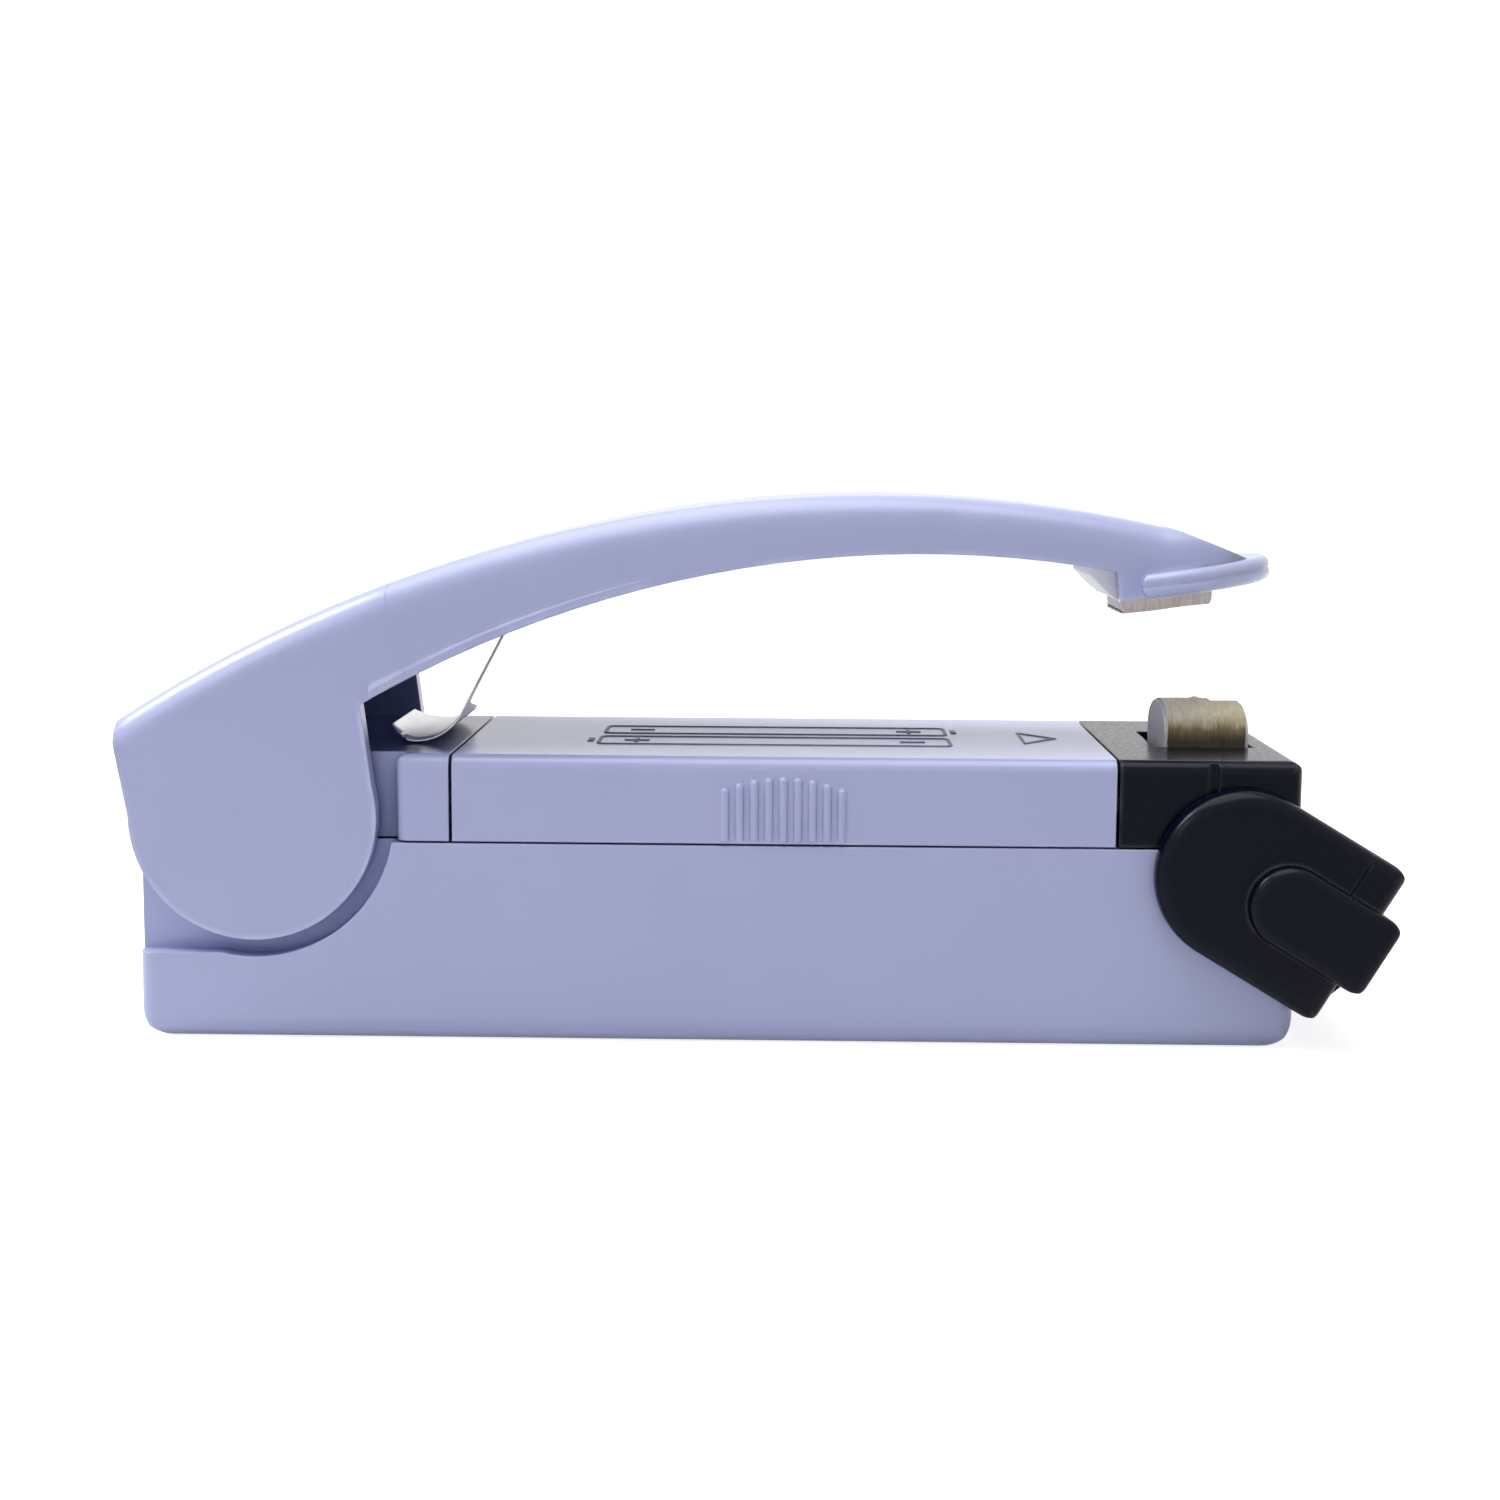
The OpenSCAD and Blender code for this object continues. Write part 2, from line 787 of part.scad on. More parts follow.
// Outline of the lever from the side, drawn in x and z.
module lever_outline()
{
    under = nose_z + (tip_x - nose_x0) * tan(nose_tilt);
    intersection()
    {
        translate([crown_x, back_c])
            circle(back_r, $fn = 360);
        under_toe();
        union()
        {
            difference()
            {
                polygon([[tail_x, hinge_z + 8], [tail_x, 60], [tip_x, 60], [tip_x, under + 1],
                         [nose_x0, nose_z + 1], [brow_x, hinge_z]]);
                translate([belly_x, belly_c])
                    circle(belly_r, $fn = 360);
            }
            polygon([[nose_x0 - 0.4, nose_z + 3.5], [nose_x0, nose_z], [tip_x, under], [tip_x, under + 2]]);
            translate([hinge_x, hinge_z])
                circle(cheek_r);
            polygon([[hinge_x - cheek_r, hinge_z], [tail_x, hinge_z + 6.75], [tail_x, 50], [brow_x, 50],
                     [brow_x, hinge_z + 11.15], [hinge_x + cheek_r, hinge_z]]);
        }
    }
}

// Round end of the nose, its upper rim rounded as the back's edges are.
module toe_end()
{
    top = back_c + back_r * cos(toe_a) + 0.06;
    translate([nose_x, 0, 0])
        round_plate(nose_w + 0.03, top, lever_r);
}

// Hollow of the lever from the side, open below.
module lever_hollow()
{
    rear = hinge_x - cheek_r + 1.5;
    intersection()
    {
        translate([crown_x, back_c])
            circle(roof_r, $fn = 360);
        polygon([[tail_x - 5, 0], [tail_x - 5, hinge_z - 1], [rear, hinge_z - 1], [rear, hinge_z],
                 [tail_x + 1.6, hinge_z + 6.75], [tail_x + 1.6, 60], [tip_x - 3.8, 60], [tip_x - 3.8, 0]]);
    }
}

// Plan of the lever's hollow in front of the cheeks, from x = a on, with the gap g to its walls.
module hollow_plan(a, g)
{
    thin = nose_w - lever_wall - g;
    wide = thin + (nose_x - a) * (cheek_in - nose_w + lever_wall) / (nose_x - taper_x);
    end = tip_x - 3.8 - g;
    polygon([[a, -wide], [nose_x, -thin], [end, -thin + 2], [end, thin - 2], [nose_x, thin], [a, wide]]);
}

// Proud rim along the lower edge of the side that faces -Y, fading out towards the nose.
module belly_rim()
{
    reach = 26;
    fade = taper_x + reach;
    intersection()
    {
        translate([fade, -half_w + reach * taper, belly_c])
            rotate([0, 0, atan(taper) + 0.75])
                translate([belly_x - fade, 0, 0])
                    rotate([-90, 0, 0])
                        rotate_extrude($fn = 360)
                            polygon([[belly_r + 0.15, 0], [belly_r + 0.8, 0], [belly_r + 1.25, 0.45],
                                     [belly_r + 1.25, 0.9], [belly_r + 0.15, 0.9]]);
        box([taper_x - 1.5, -half_w - 1, hinge_z], [fade, 0, belly_z]);
    }
}

module lever_arm()
{
    color([0.63, 0.65, 0.81])
    {
        difference()
        {
            union()
            {
                intersection()
                {
                    side_on(body_w)
                        lever_outline();
                    box([tail_x - 5, -half_w, 0], [taper_x, half_w, 60]);
                    translate([crown_x, -half_w, back_c])
                        rim_ring();
                    mirror([0, 1, 0])
                        translate([crown_x, -half_w, back_c])
                            rim_ring();
                }
                intersection()
                {
                    side_on(body_w)
                        lever_outline();
                    tapered_side();
                    mirror([0, 1, 0])
                        tapered_side();
                    box([taper_x, -half_w, 0], [nose_x, half_w, 60]);
                }
                intersection()
                {
                    side_on(body_w)
                        lever_outline();
                    toe_end();
                }
                on_both_sides()
                    belly_rim();
                lip();
            }
            side_on(2 * cheek_in)
                intersection()
                {
                    lever_hollow();
                    translate([tail_x - 5, 0])
                        square([taper_x - tail_x + 5.5, 60]);
                }
            intersection()
            {
                side_on(body_w)
                    lever_hollow();
                linear_extrude(60)
                    hollow_plan(taper_x, 0);
            }
            cross_pin(hinge_x, hinge_z, pin_r + pin_clear, -half_w + 0.7, half_w - 0.7);
        }
    }
}

// Puts something drawn flat on the sloping underside of the nose.
module on_nose()
{
    translate([nose_x0, 0, nose_z])
        rotate([0, -nose_tilt, 0])
            children();
}

// Section of the lip: two beads, and the web that joins them to the nose's wall.
module lip_section()
{
    rim = nose_w + lip_out - lip_r;
    for (h = [lip_r, lip_r + lip_step])
        translate([rim, h])
            circle(lip_r);
    translate([nose_w - 0.6, 0.02])
        square([rim - nose_w + 0.6, 2 * lip_r + lip_step - 0.04]);
}

// Lip round the nose, from one side over the round end to the other side.
module lip()
{
    mid = nose_x - nose_x0;
    on_nose()
    {
        translate([mid, 0, 0])
            rotate([0, 0, -90])
                rotate_extrude(angle = 180)
                    lip_section();
        on_both_sides()
            intersection()
            {
                translate([2, 0, 0])
                    rotate([90, 0, 90])
                        linear_extrude(mid - 2)
                            lip_section();
                // Round end of the lip, seen from the side
                side_on(body_w)
                {
                    translate([3.4, lip_r + lip_step / 2])
                        circle(1.35);
                    translate([3.4, -1])
                        square([mid, 5]);
                }
            }
    }
}

module pad_holder()
{
    end = tip_x - 4;
    color([0.92, 0.92, 0.93])
        difference()
        {
            intersection()
            {
                side_on(body_w)
                    intersection()
                    {
                        translate([crown_x, back_c])
                            circle(roof_r - 0.03, $fn = 360);
                        polygon([[nose_x0 - 2.5, nose_z + 2.3], [nose_x0 - 0.9, nose_z + 0.65],
                                 [nose_x0, nose_z + 0.05],
                                 [end, nose_z + 0.05 + (end - nose_x0) * tan(nose_tilt)],
                                 [end, 60], [nose_x0 - 2.5, 60]]);
                    }
                linear_extrude(60)
                    hollow_plan(nose_x0 - 2.5, 0.12);
            }
            on_nose()
                box([0.75, -4, -1], [8.85, 4, 1.2]);
        }
}

module press_pad()
{
    color([0.85, 0.83, 0.8])
        on_nose()
        {
            box([0.8, -3.95, -1], [8.8, 3.95, 1.15]);
            box([0.55, -5.75, -1.33], [9.05, 5.75, -0.02]);
        }
}

module pad_tape()
{
    color([0.72, 0.6, 0.42])
        on_nose()
            difference()
            {
                box([0.5, -6, -1.55], [9.1, 6, 0]);
                box([0, -5.8, -1.35], [10, 5.8, 1]);
            }
}

// Bent foot of the leaf spring, drawn in x and z.
module leaf_foot()
{
    tip_r = 2.6;
    intersection()
    {
        translate([foot_x, foot_z + tip_r])
            difference()
            {
                circle(tip_r);
                circle(tip_r - leaf_t);
            }
        translate([foot_x - tip_r, foot_z - 1])
            square([tip_r + 0.05, tip_r]);
    }
    intersection()
    {
        translate([foot_x, foot_z + curl_r])
            difference()
            {
                circle(curl_r);
                circle(curl_r - leaf_t);
            }
        polygon([[foot_x - 0.05, foot_z - 1], [foot_x - 0.05, foot_z + curl_r],
                 [foot_x + 9 * cos(leaf_lean), foot_z + curl_r - 9 * sin(leaf_lean)],
                 [foot_x + 9, foot_z - 1]]);
    }
}

// Straight stem from the foot up to the lever's roof, drawn in x and z.
module leaf_stem()
{
    intersection()
    {
        translate([foot_x, foot_z + curl_r])
            rotate(-leaf_lean)
                translate([curl_r - leaf_t, -0.6])
                    square([leaf_t, 30]);
        translate([crown_x, back_c])
            circle(leaf_r - leaf_t / 4, $fn = 360);
    }
}

// Root that lies under the lever's roof, drawn in x and z.
module leaf_root()
{
    intersection()
    {
        translate([crown_x, back_c])
            difference()
            {
                circle(leaf_r, $fn = 360);
                circle(leaf_r - leaf_t, $fn = 360);
            }
        translate([root_x - 1.1, belly_z - 10])
            square([9.5, 20]);
    }
}

// Outline of the foot from above: a slanting tip that widens to the far side.
module foot_plan()
{
    far = leaf_w - leaf_y;
    polygon([[foot_x - 3, 1 - leaf_y], [foot_x - 3, far - 8.5], [foot_x - 1.8, far - 3.5], [foot_x - 0.4, far],
             [foot_x + 9, far], [foot_x + 9, -leaf_y], [foot_x - 1, -leaf_y]]);
}

// Outline of the foot from the end: its far shoulder falls away from the stem.
module foot_end()
{
    far = leaf_w - leaf_y;
    top = stem_z + 0.3;
    polygon([[-leaf_y, foot_z - 1], [-leaf_y, top], [stem_w - leaf_y, top], [0, top - 0.8], [far - 6.5, top - 1.4],
             [far - 2, top - 2.6], [far, foot_z + 0.5], [far, foot_z - 1]]);
}

module leaf_spring()
{
    color([0.82, 0.81, 0.8])
    {
        intersection()
        {
            translate([0, leaf_w / 2 - leaf_y, 0])
                side_on(leaf_w + 2)
                    leaf_foot();
            linear_extrude(60)
                foot_plan();
            union()
            {
                box([foot_x - 9, -leaf_w, foot_z - 1], [foot_x + 1, leaf_w, foot_z + 9]);
                end_on(foot_x, foot_x + 9)
                    foot_end();
            }
        }
        translate([0, stem_w / 2 - leaf_y, 0])
            side_on(stem_w)
                leaf_stem();
        translate([0, 3.2 - leaf_y, 0])
            side_on(6.4)
                leaf_root();
    }
}

// Two rivets that hold the leaf spring's root.
module leaf_rivets()
{
    color([0.7, 0.7, 0.72])
        for (x = [root_x + 2.8, root_x + 6.3])
            translate([crown_x, 3.2 - leaf_y, back_c])
                rotate([0, asin((x - crown_x) / leaf_r), 0])
                    translate([0, 0, leaf_r - leaf_t - 0.62])
                        cylinder(r = 1.1, h = 0.6);
}

// A round plate of radius q and thickness t, its outer rim rounded by r.
module round_plate(q, t, r)
{
    rotate_extrude()
        intersection()
        {
            square([q, t]);
            union()
            {
                square([q, t - r]);
                square([q - r, t]);
                translate([q - r, t - r])
                    circle(r);
            }
        }
}

// A flat arm of length l and half width w, its outer rim rounded by r.
module soft_arm(l, w, t, r)
{
    intersection()
    {
        linear_extrude(t)
            soft_rect(-9, l, -w, w, 1.5, 1.5);
        rotate([90, 0, 0])
            translate([0, 0, -w])
                linear_extrude(2 * w)
                    soft_rect(-9, l, 0, t, r, 0);
        rotate([90, 0, 90])
            linear_extrude(l)
                soft_rect(-w, w, 0, t, r, 0);
    }
}

// One side of the guard with its arm along +X: an ear of length l, and the thumb bar on it.
module guard_side(l)
{
    back = bar_w + 0.75;
    difference()
    {
        union()
        {
            round_plate(ear_r, ear_t, ear_rim);
            soft_arm(l, ear_r, ear_t, ear_rim);
        }
        // Fine joint across the ear
        box([joint_u, bar_w, ear_t - 0.2], [joint_u + 0.2, ear_r + 1, ear_t + 1]);
        box([joint_u, ear_r - 0.2, -1], [joint_u + 0.2, ear_r + 1, ear_t + 1]);
    }
    difference()
    {
        translate([back, 0, 0])
        {
            round_plate(bar_w, ear_t + bar_t, bar_rim);
            soft_arm(bar_len - back, bar_w, ear_t + bar_t, bar_rim);
        }
        // The joint goes on over the bar's upper edge
        box([joint_u, bar_w - 0.3, ear_t], [joint_u + 0.2, bar_w + 1, ear_t + bar_t + 1]);
    }
}

module safety_guard()
{
    color([0.05, 0.055, 0.09])
        translate([guard_x, 0, guard_z])
            rotate([0, guard_rest, 0])
                difference()
                {
                    union()
                    {
                        translate([0, -ear_y, 0])
                            rotate([90, 0, 0])
                                guard_side(ear_len);
                        mirror([0, 1, 0])
                            translate([0, -ear_y, 0])
                                rotate([90, 0, 0])
                                    guard_side(far_len);
                        // Hood that joins the two sides
                        intersection()
                        {
                            difference()
                            {
                                cross_pin(0, 0, hood_out, -ear_y - 0.5, ear_y + 0.5);
                                cross_pin(0, 0, hood_in, -ear_y - 1, ear_y + 1);
                            }
                            side_on(body_w + 10)
                                polygon([[0, 0], [20, 20 * tan(hood_up)], [20, -20 * tan(hood_down)]]);
                        }
                    }
                    on_both_sides()
                        cross_pin(0, 0, stub_r + pin_clear, 0, half_w + 1.35);
                }
}

module battery_cover()
{
    mid = (rib_count - 1) / 2;
    color([0.63, 0.65, 0.81])
    {
        difference()
        {
            intersection()
            {
                soft_box(cover_x - 5, cover_end + 5, half_w, base_h + seam, body_h, edge_r, edge_r, 0);
                box([cover_x, -half_w, 0], [cover_end, half_w, body_h]);
            }
            box([cover_x + wall, -half_w + wall, 0], [cover_end - wall, half_w - wall, body_h - wall]);
        }
        // Tongues that slide in the housings
        for (x = [cover_x, cover_end])
            box([x - 0.9, -half_w + 3.05, tongue_z + 0.2], [x + 0.9, half_w - 3.05, tongue_z + 1.4]);
        // Grip ribs
        on_both_sides()
            for (i = [-mid:mid])
                let (h = body_h - base_h - seam - 2.4 - pow(i / mid, 2))
                    translate([cover_mid + i * rib_pitch, half_w, base_h + seam + 0.25])
                    {
                        cylinder(r = rib_r, h = h);
                        translate([0, 0, h])
                            sphere(rib_r);
                    }
    }
}

base_shell();
rear_housing();
element_housing();
hinge_pin();
cell_a();
cell_b();
bridge_contact();
lead_plus();
lead_minus();
heater_spring();
case_screws();
heater_carrier();
heater_ribbon();
heater_tape();
moving_contacts();
lever_arm();
pad_holder();
press_pad();
pad_tape();
leaf_spring();
leaf_rivets();
safety_guard();
battery_cover();
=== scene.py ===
# %% [markdown]
# A handheld bag sealer, dressed for its portrait. The CAD frame brings every rigid piece in
# metres and in place: the base, the lever, the guard, the cover, the hot end and the cells.
# This lesson adds the camera, the light, a finish for every piece, and the soft or springy
# pieces that look better as worked meshes than as plain solids.

# %% Frame
import math

import bmesh
import bpy
from mathutils import Matrix, Vector


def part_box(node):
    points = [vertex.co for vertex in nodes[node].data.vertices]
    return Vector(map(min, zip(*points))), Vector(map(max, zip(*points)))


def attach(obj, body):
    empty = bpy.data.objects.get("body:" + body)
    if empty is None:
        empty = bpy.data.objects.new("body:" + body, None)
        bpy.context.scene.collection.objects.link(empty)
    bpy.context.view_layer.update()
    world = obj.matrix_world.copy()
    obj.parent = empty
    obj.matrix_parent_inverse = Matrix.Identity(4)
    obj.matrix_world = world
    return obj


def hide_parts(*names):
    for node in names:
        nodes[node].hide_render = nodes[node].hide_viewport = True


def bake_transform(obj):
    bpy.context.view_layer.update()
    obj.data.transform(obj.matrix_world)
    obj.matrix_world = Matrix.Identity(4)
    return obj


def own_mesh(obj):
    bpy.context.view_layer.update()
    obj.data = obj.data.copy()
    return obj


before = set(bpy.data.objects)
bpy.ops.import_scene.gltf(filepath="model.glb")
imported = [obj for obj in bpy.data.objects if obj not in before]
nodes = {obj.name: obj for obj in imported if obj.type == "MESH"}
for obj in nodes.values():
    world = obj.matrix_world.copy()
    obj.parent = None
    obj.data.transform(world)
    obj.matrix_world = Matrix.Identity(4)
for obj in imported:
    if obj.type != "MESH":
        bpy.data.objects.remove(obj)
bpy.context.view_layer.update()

# %% [markdown]
# The camera stands a hand's length in front of the sealer, a little above the cover, and looks
# slightly down. Its place and turn could be found by eye, but a camera fitted to a dozen known
# corners is exact, so the numbers here are a position, three angles and a focal length.

# %% Camera
PICTURE = 1500
FOCAL_PIXELS = 2383.2
SENSOR = 36
STAND = (0.00743, -0.2312, 0.05404)
yaw, pitch, roll = (math.radians(a) for a in (-1.145, 7.109, 0.356))
ahead = Vector((math.sin(yaw) * math.cos(pitch), math.cos(yaw) * math.cos(pitch), -math.sin(pitch)))
level_right = Vector((math.cos(yaw), -math.sin(yaw), 0))
level_up = level_right.cross(ahead)
right = math.cos(roll) * level_right + math.sin(roll) * level_up
up = math.cos(roll) * level_up - math.sin(roll) * level_right

lens = bpy.data.cameras.new("portrait_lens")
lens.sensor_width = SENSOR
lens.lens = SENSOR * FOCAL_PIXELS / PICTURE
lens.clip_start = 0.01
camera = bpy.data.objects.new("portrait_camera", lens)
bpy.context.scene.collection.objects.link(camera)
turn = Matrix((right, up, -ahead)).transposed().to_4x4()
camera.matrix_world = Matrix.Translation(STAND) @ turn
bpy.context.scene.camera = camera
print("camera:", round(lens.lens, 2), "mm lens")

# %% [markdown]
# The paper, the room and every finish are small trees of nodes, and the same few steps come back
# in all of them: a place in metres, a sum, a range stretched to another. Each node could be set
# up by hand where it is needed, but short helpers say it in one line, so that a recipe further
# down reads from top to bottom.

# %% Node steps
def start_finish(name):
    """A fresh material with its shader, and the point on the piece in metres."""
    finish = bpy.data.materials.new(name)
    finish.use_nodes = True
    tree = finish.node_tree
    place = tree.nodes.new("ShaderNodeTexCoord").outputs["Object"]
    return finish, tree, tree.nodes["Principled BSDF"], place


def feed(tree, term, socket):
    """Gives a socket a number, a colour triple or the output of another step."""
    if isinstance(term, bpy.types.NodeSocket):
        tree.links.new(term, socket)
    elif isinstance(term, tuple):
        socket.default_value = (*term, 1)
    else:
        socket.default_value = term


def reckon(tree, operation, *terms):
    """One sum, such as MULTIPLY or MAXIMUM, of numbers and the outputs of other steps."""
    step = tree.nodes.new("ShaderNodeMath")
    step.operation = operation
    for term, socket in zip(terms, step.inputs):
        feed(tree, term, socket)
    return step.outputs[0]


def coordinate(tree, place, axis):
    """How far a place lies along X, Y or Z, in metres."""
    axes = tree.nodes.new("ShaderNodeSeparateXYZ")
    tree.links.new(place, axes.inputs["Vector"])
    return axes.outputs[axis]


def spread_out(tree, value, low, high, to_low=0, to_high=1):
    """Stretches a value from one range to another and keeps it there."""
    scale = tree.nodes.new("ShaderNodeMapRange")
    sockets = ("Value", "From Min", "From Max", "To Min", "To Max")
    for term, socket in zip((value, low, high, to_low, to_high), sockets):
        feed(tree, term, scale.inputs[socket])
    return scale.outputs["Result"]


def ray_kinds(tree):
    """Two masks: 1 for rays from the lens, and 1 for rays that gloss or glass sends on."""
    rays = tree.nodes.new("ShaderNodeLightPath").outputs
    sent_on = reckon(tree, "MAXIMUM", rays["Is Glossy Ray"], rays["Is Transmission Ray"])
    return rays["Is Camera Ray"], sent_on


# %% [markdown]
# A white sweep stands under and behind the sealer, as a sheet of paper does in a studio. Its
# white could come from strong lamps, but these would burn out the pale plastic. So the paper
# gives a little light of its own and still takes shadow. The lens sees all of that light. Gloss
# sees it only behind the sealer, so that the black plastic mirrors no glowing floor in front.

# %% Paper sweep
SWEEP_FRONT, BEND_START, BEND_R, SWEEP_TOP, SWEEP_HALF = -2.0, 1.2, 0.6, 3.0, 3
BEND_STEPS = 15
GLOW_FROM, GLOW_FULL = -0.06, 0.02


def paper_outline():
    """Points of the sweep from front to back: flat floor, round bend, upright back."""
    points = [(SWEEP_FRONT, 0.0), (BEND_START, 0.0)]
    for i in range(1, BEND_STEPS + 1):
        a = math.radians(90 * i / BEND_STEPS)
        points.append((BEND_START + BEND_R * math.sin(a), BEND_R - BEND_R * math.cos(a)))
    return points + [(BEND_START + BEND_R, SWEEP_TOP)]


def glow_for_lens(tree, shader, place, strength):
    """Adds a paper's own light: all of it for the lens, its back half for gloss and glass."""
    behind = spread_out(tree, coordinate(tree, place, "Y"), GLOW_FROM, GLOW_FULL)
    from_lens, from_gloss = ray_kinds(tree)
    seen = reckon(tree, "MAXIMUM", from_lens, reckon(tree, "MULTIPLY", from_gloss, behind))
    shader.inputs["Emission Color"].default_value = (1, 1, 1, 1)
    tree.links.new(reckon(tree, "MULTIPLY", seen, strength), shader.inputs["Emission Strength"])


def white_paper():
    """Dull paper that glows for the lens."""
    finish, tree, shader, place = start_finish("white_paper")
    shader.inputs["Base Color"].default_value = (0.74, 0.74, 0.75, 1)
    shader.inputs["Roughness"].default_value = 0.9
    shader.inputs["Specular IOR Level"].default_value = 0.0
    glow_for_lens(tree, shader, place, 0.8)
    return finish


sweep_mesh = bpy.data.meshes.new("paper_sweep")
outline = paper_outline()
corners = [(x, y, z) for y, z in outline for x in (-SWEEP_HALF, SWEEP_HALF)]
sheets = [(2 * i, 2 * i + 1, 2 * i + 3, 2 * i + 2) for i in range(len(outline) - 1)]
sweep_mesh.from_pydata(corners, [], sheets)
sweep_mesh.shade_smooth()
sweep_mesh.materials.append(white_paper())
sweep = bpy.data.objects.new("paper_sweep", sweep_mesh)
bpy.context.scene.collection.objects.link(sweep)
print("sweep:", len(sheets), "sheets")

# %% [markdown]
# Most light comes from one wide softbox overhead, as the bright top edges of the plastic tell. A
# window high on the left draws the light rims of the black guard, and a small lamp at the front
# left lifts the near faces. More lamps would shape the form more, but each shows as a spot in
# the black plastic. The room lights the sealer as an even grey, while lens and gloss see it as
# white, so that no grey band shows behind the paper.

# %% Light
ROOM_LIGHT = 0.3


def softbox(name, place, aim, size, watts):
    """A rectangular lamp that looks at a point."""
    lamp = bpy.data.lights.new(name, "AREA")
    lamp.shape = "RECTANGLE"
    lamp.size, lamp.size_y = size
    lamp.energy = watts
    holder = bpy.data.objects.new(name, lamp)
    holder.location = place
    holder.rotation_euler = (Vector(aim) - Vector(place)).to_track_quat("-Z", "Y").to_euler()
    bpy.context.scene.collection.objects.link(holder)


def grey_room():
    """A world that is white for lens and gloss, and a dim light for all else."""
    world = bpy.data.worlds.new("grey_room")
    world.use_nodes = True
    tree = world.node_tree
    backdrop = tree.nodes["Background"]
    seen = reckon(tree, "MAXIMUM", *ray_kinds(tree))
    backdrop.inputs["Color"].default_value = (1, 1, 1, 1)
    tree.links.new(spread_out(tree, seen, 0, 1, ROOM_LIGHT, 1), backdrop.inputs["Strength"])
    return world


softbox("overhead_softbox", (-0.05, -0.04, 0.60), aim=(0, 0, 0.02), size=(0.7, 0.5), watts=3.12)
softbox("left_window", (-0.45, 0.07, 0.5), aim=(0.02, 0, 0.03), size=(0.2, 0.22), watts=2.2)
softbox("left_lamp", (-0.42, -0.38, 0.42), aim=(0, 0, 0.03), size=(0.16, 0.16), watts=0.35)
bpy.context.scene.world = grey_room()
bpy.context.scene.view_settings.view_transform = "Standard"

# %% [markdown]
# Real surfaces are never one colour. Every finish here draws on a noise of a real size, a mix of
# two colours, a mask of the piece's edges, one of its hollows, and a fine relief. Painted images
# would do as well, but nodes keep their scale on every piece and need no unwrapping.

# %% Steps that finishes share
# Where the open nose begins along X, and where the open foot ends in height, in metres.
NOSE_FROM, NOSE_FULL = 0.018, 0.03
FOOT_FULL, FOOT_END = 0.004, 0.0055


def grain(tree, place, size, detail=3.0, stretch=(1, 1, 1)):
    """A noise whose spots are about size metres wide, longer where stretch is above 1."""
    spread = tree.nodes.new("ShaderNodeMapping")
    spread.inputs["Scale"].default_value = [1 / (size * s) for s in stretch]
    noise = tree.nodes.new("ShaderNodeTexNoise")
    noise.inputs["Scale"].default_value = 1.0
    noise.inputs["Detail"].default_value = detail
    tree.links.new(place, spread.inputs["Vector"])
    tree.links.new(spread.outputs["Vector"], noise.inputs["Vector"])
    return noise.outputs["Fac"]


def between(tree, share, first, second):
    """A colour between two: each is a colour triple or the output of another step."""
    mix = tree.nodes.new("ShaderNodeMix")
    mix.data_type = "RGBA"
    feed(tree, share, mix.inputs["Factor"])
    feed(tree, first, mix.inputs[6])
    feed(tree, second, mix.inputs[7])
    return mix.outputs[2]


def softened(tree, radius, samples):
    """The surface's normal as if its edges were rounded over: by a number or another step."""
    soft = tree.nodes.new("ShaderNodeBevel")
    soft.samples = samples
    feed(tree, radius, soft.inputs["Radius"])
    return soft.outputs["Normal"]


def edges(tree, width):
    """1 along the piece's edges and 0 on its flat faces, from how far a softened normal turns."""
    true = tree.nodes.new("ShaderNodeNewGeometry")
    match = tree.nodes.new("ShaderNodeVectorMath")
    match.operation = "DOT_PRODUCT"
    tree.links.new(softened(tree, width, 4), match.inputs[0])
    tree.links.new(true.outputs["Normal"], match.inputs[1])
    return spread_out(tree, match.outputs["Value"], 0.995, 0.9)


def hollows(tree, place, reach, alone):
    """A mask for painted shade: 0 deep in a hollow, where the colour is painted dark, and 1 in the
    open, from what lies within reach: the piece alone, or all.

    Towards the nose, and at the foot next to the paper, every face counts as open.
    """
    open_share = tree.nodes.new("ShaderNodeAmbientOcclusion")
    open_share.samples = 8
    open_share.only_local = alone
    open_share.inputs["Distance"].default_value = reach
    open_face = spread_out(tree, open_share.outputs["AO"], 0.25, 0.55)
    in_front = spread_out(tree, coordinate(tree, place, "X"), NOSE_FROM, NOSE_FULL)
    at_foot = spread_out(tree, coordinate(tree, place, "Z"), FOOT_FULL, FOOT_END, 1, 0)
    return reckon(tree, "MAXIMUM", reckon(tree, "MAXIMUM", open_face, in_front), at_foot)


def rough_skin(tree, shader, height, depth, strength, soften=None):
    """Turns a height into bumps of a real depth in metres, over edges softened by a radius."""
    bump = tree.nodes.new("ShaderNodeBump")
    if soften is not None:
        tree.links.new(softened(tree, soften, 8), bump.inputs["Normal"])
    bump.inputs["Distance"].default_value = depth
    bump.inputs["Strength"].default_value = strength
    tree.links.new(height, bump.inputs["Height"])
    tree.links.new(bump.outputs["Normal"], shader.inputs["Normal"])


# %% [markdown]
# The sealer's plastics are moulded in a spark-eroded tool, which leaves a fine even grain on
# flat faces. The resin flows with faint cloudy tints. The edges are painted paler, partly as wear
# from handling and partly as painted highlight, and deep hollows are painted dark as painted shade.
# Each plastic could have a tree of its own, but one recipe with other colours, gloss and grain
# makes them look like pieces of one product.

# %% Moulded plastics
MM = 0.001
# The middle of the arc of the lever's back, in millimetres.
BACK_X, BACK_Z = 15.025, -77.8
# Distances from that middle, and the edge radius at each, in metres.
BACK_LOW, BACK_TOP, FINE_EDGE, WIDE_EDGE = 0.1232, 0.1255, 0.0002, 0.0022
CLOUD_TINT = 0.015
SHADE_TINT = (0.8, 0.95, 1.25)
LAVENDER, PALE_EDGES, LEVER_WEAR_AND_HIGHLIGHT = (0.44, 0.472, 0.74), (0.56, 0.58, 0.84), (0.62, 0.65, 0.9)


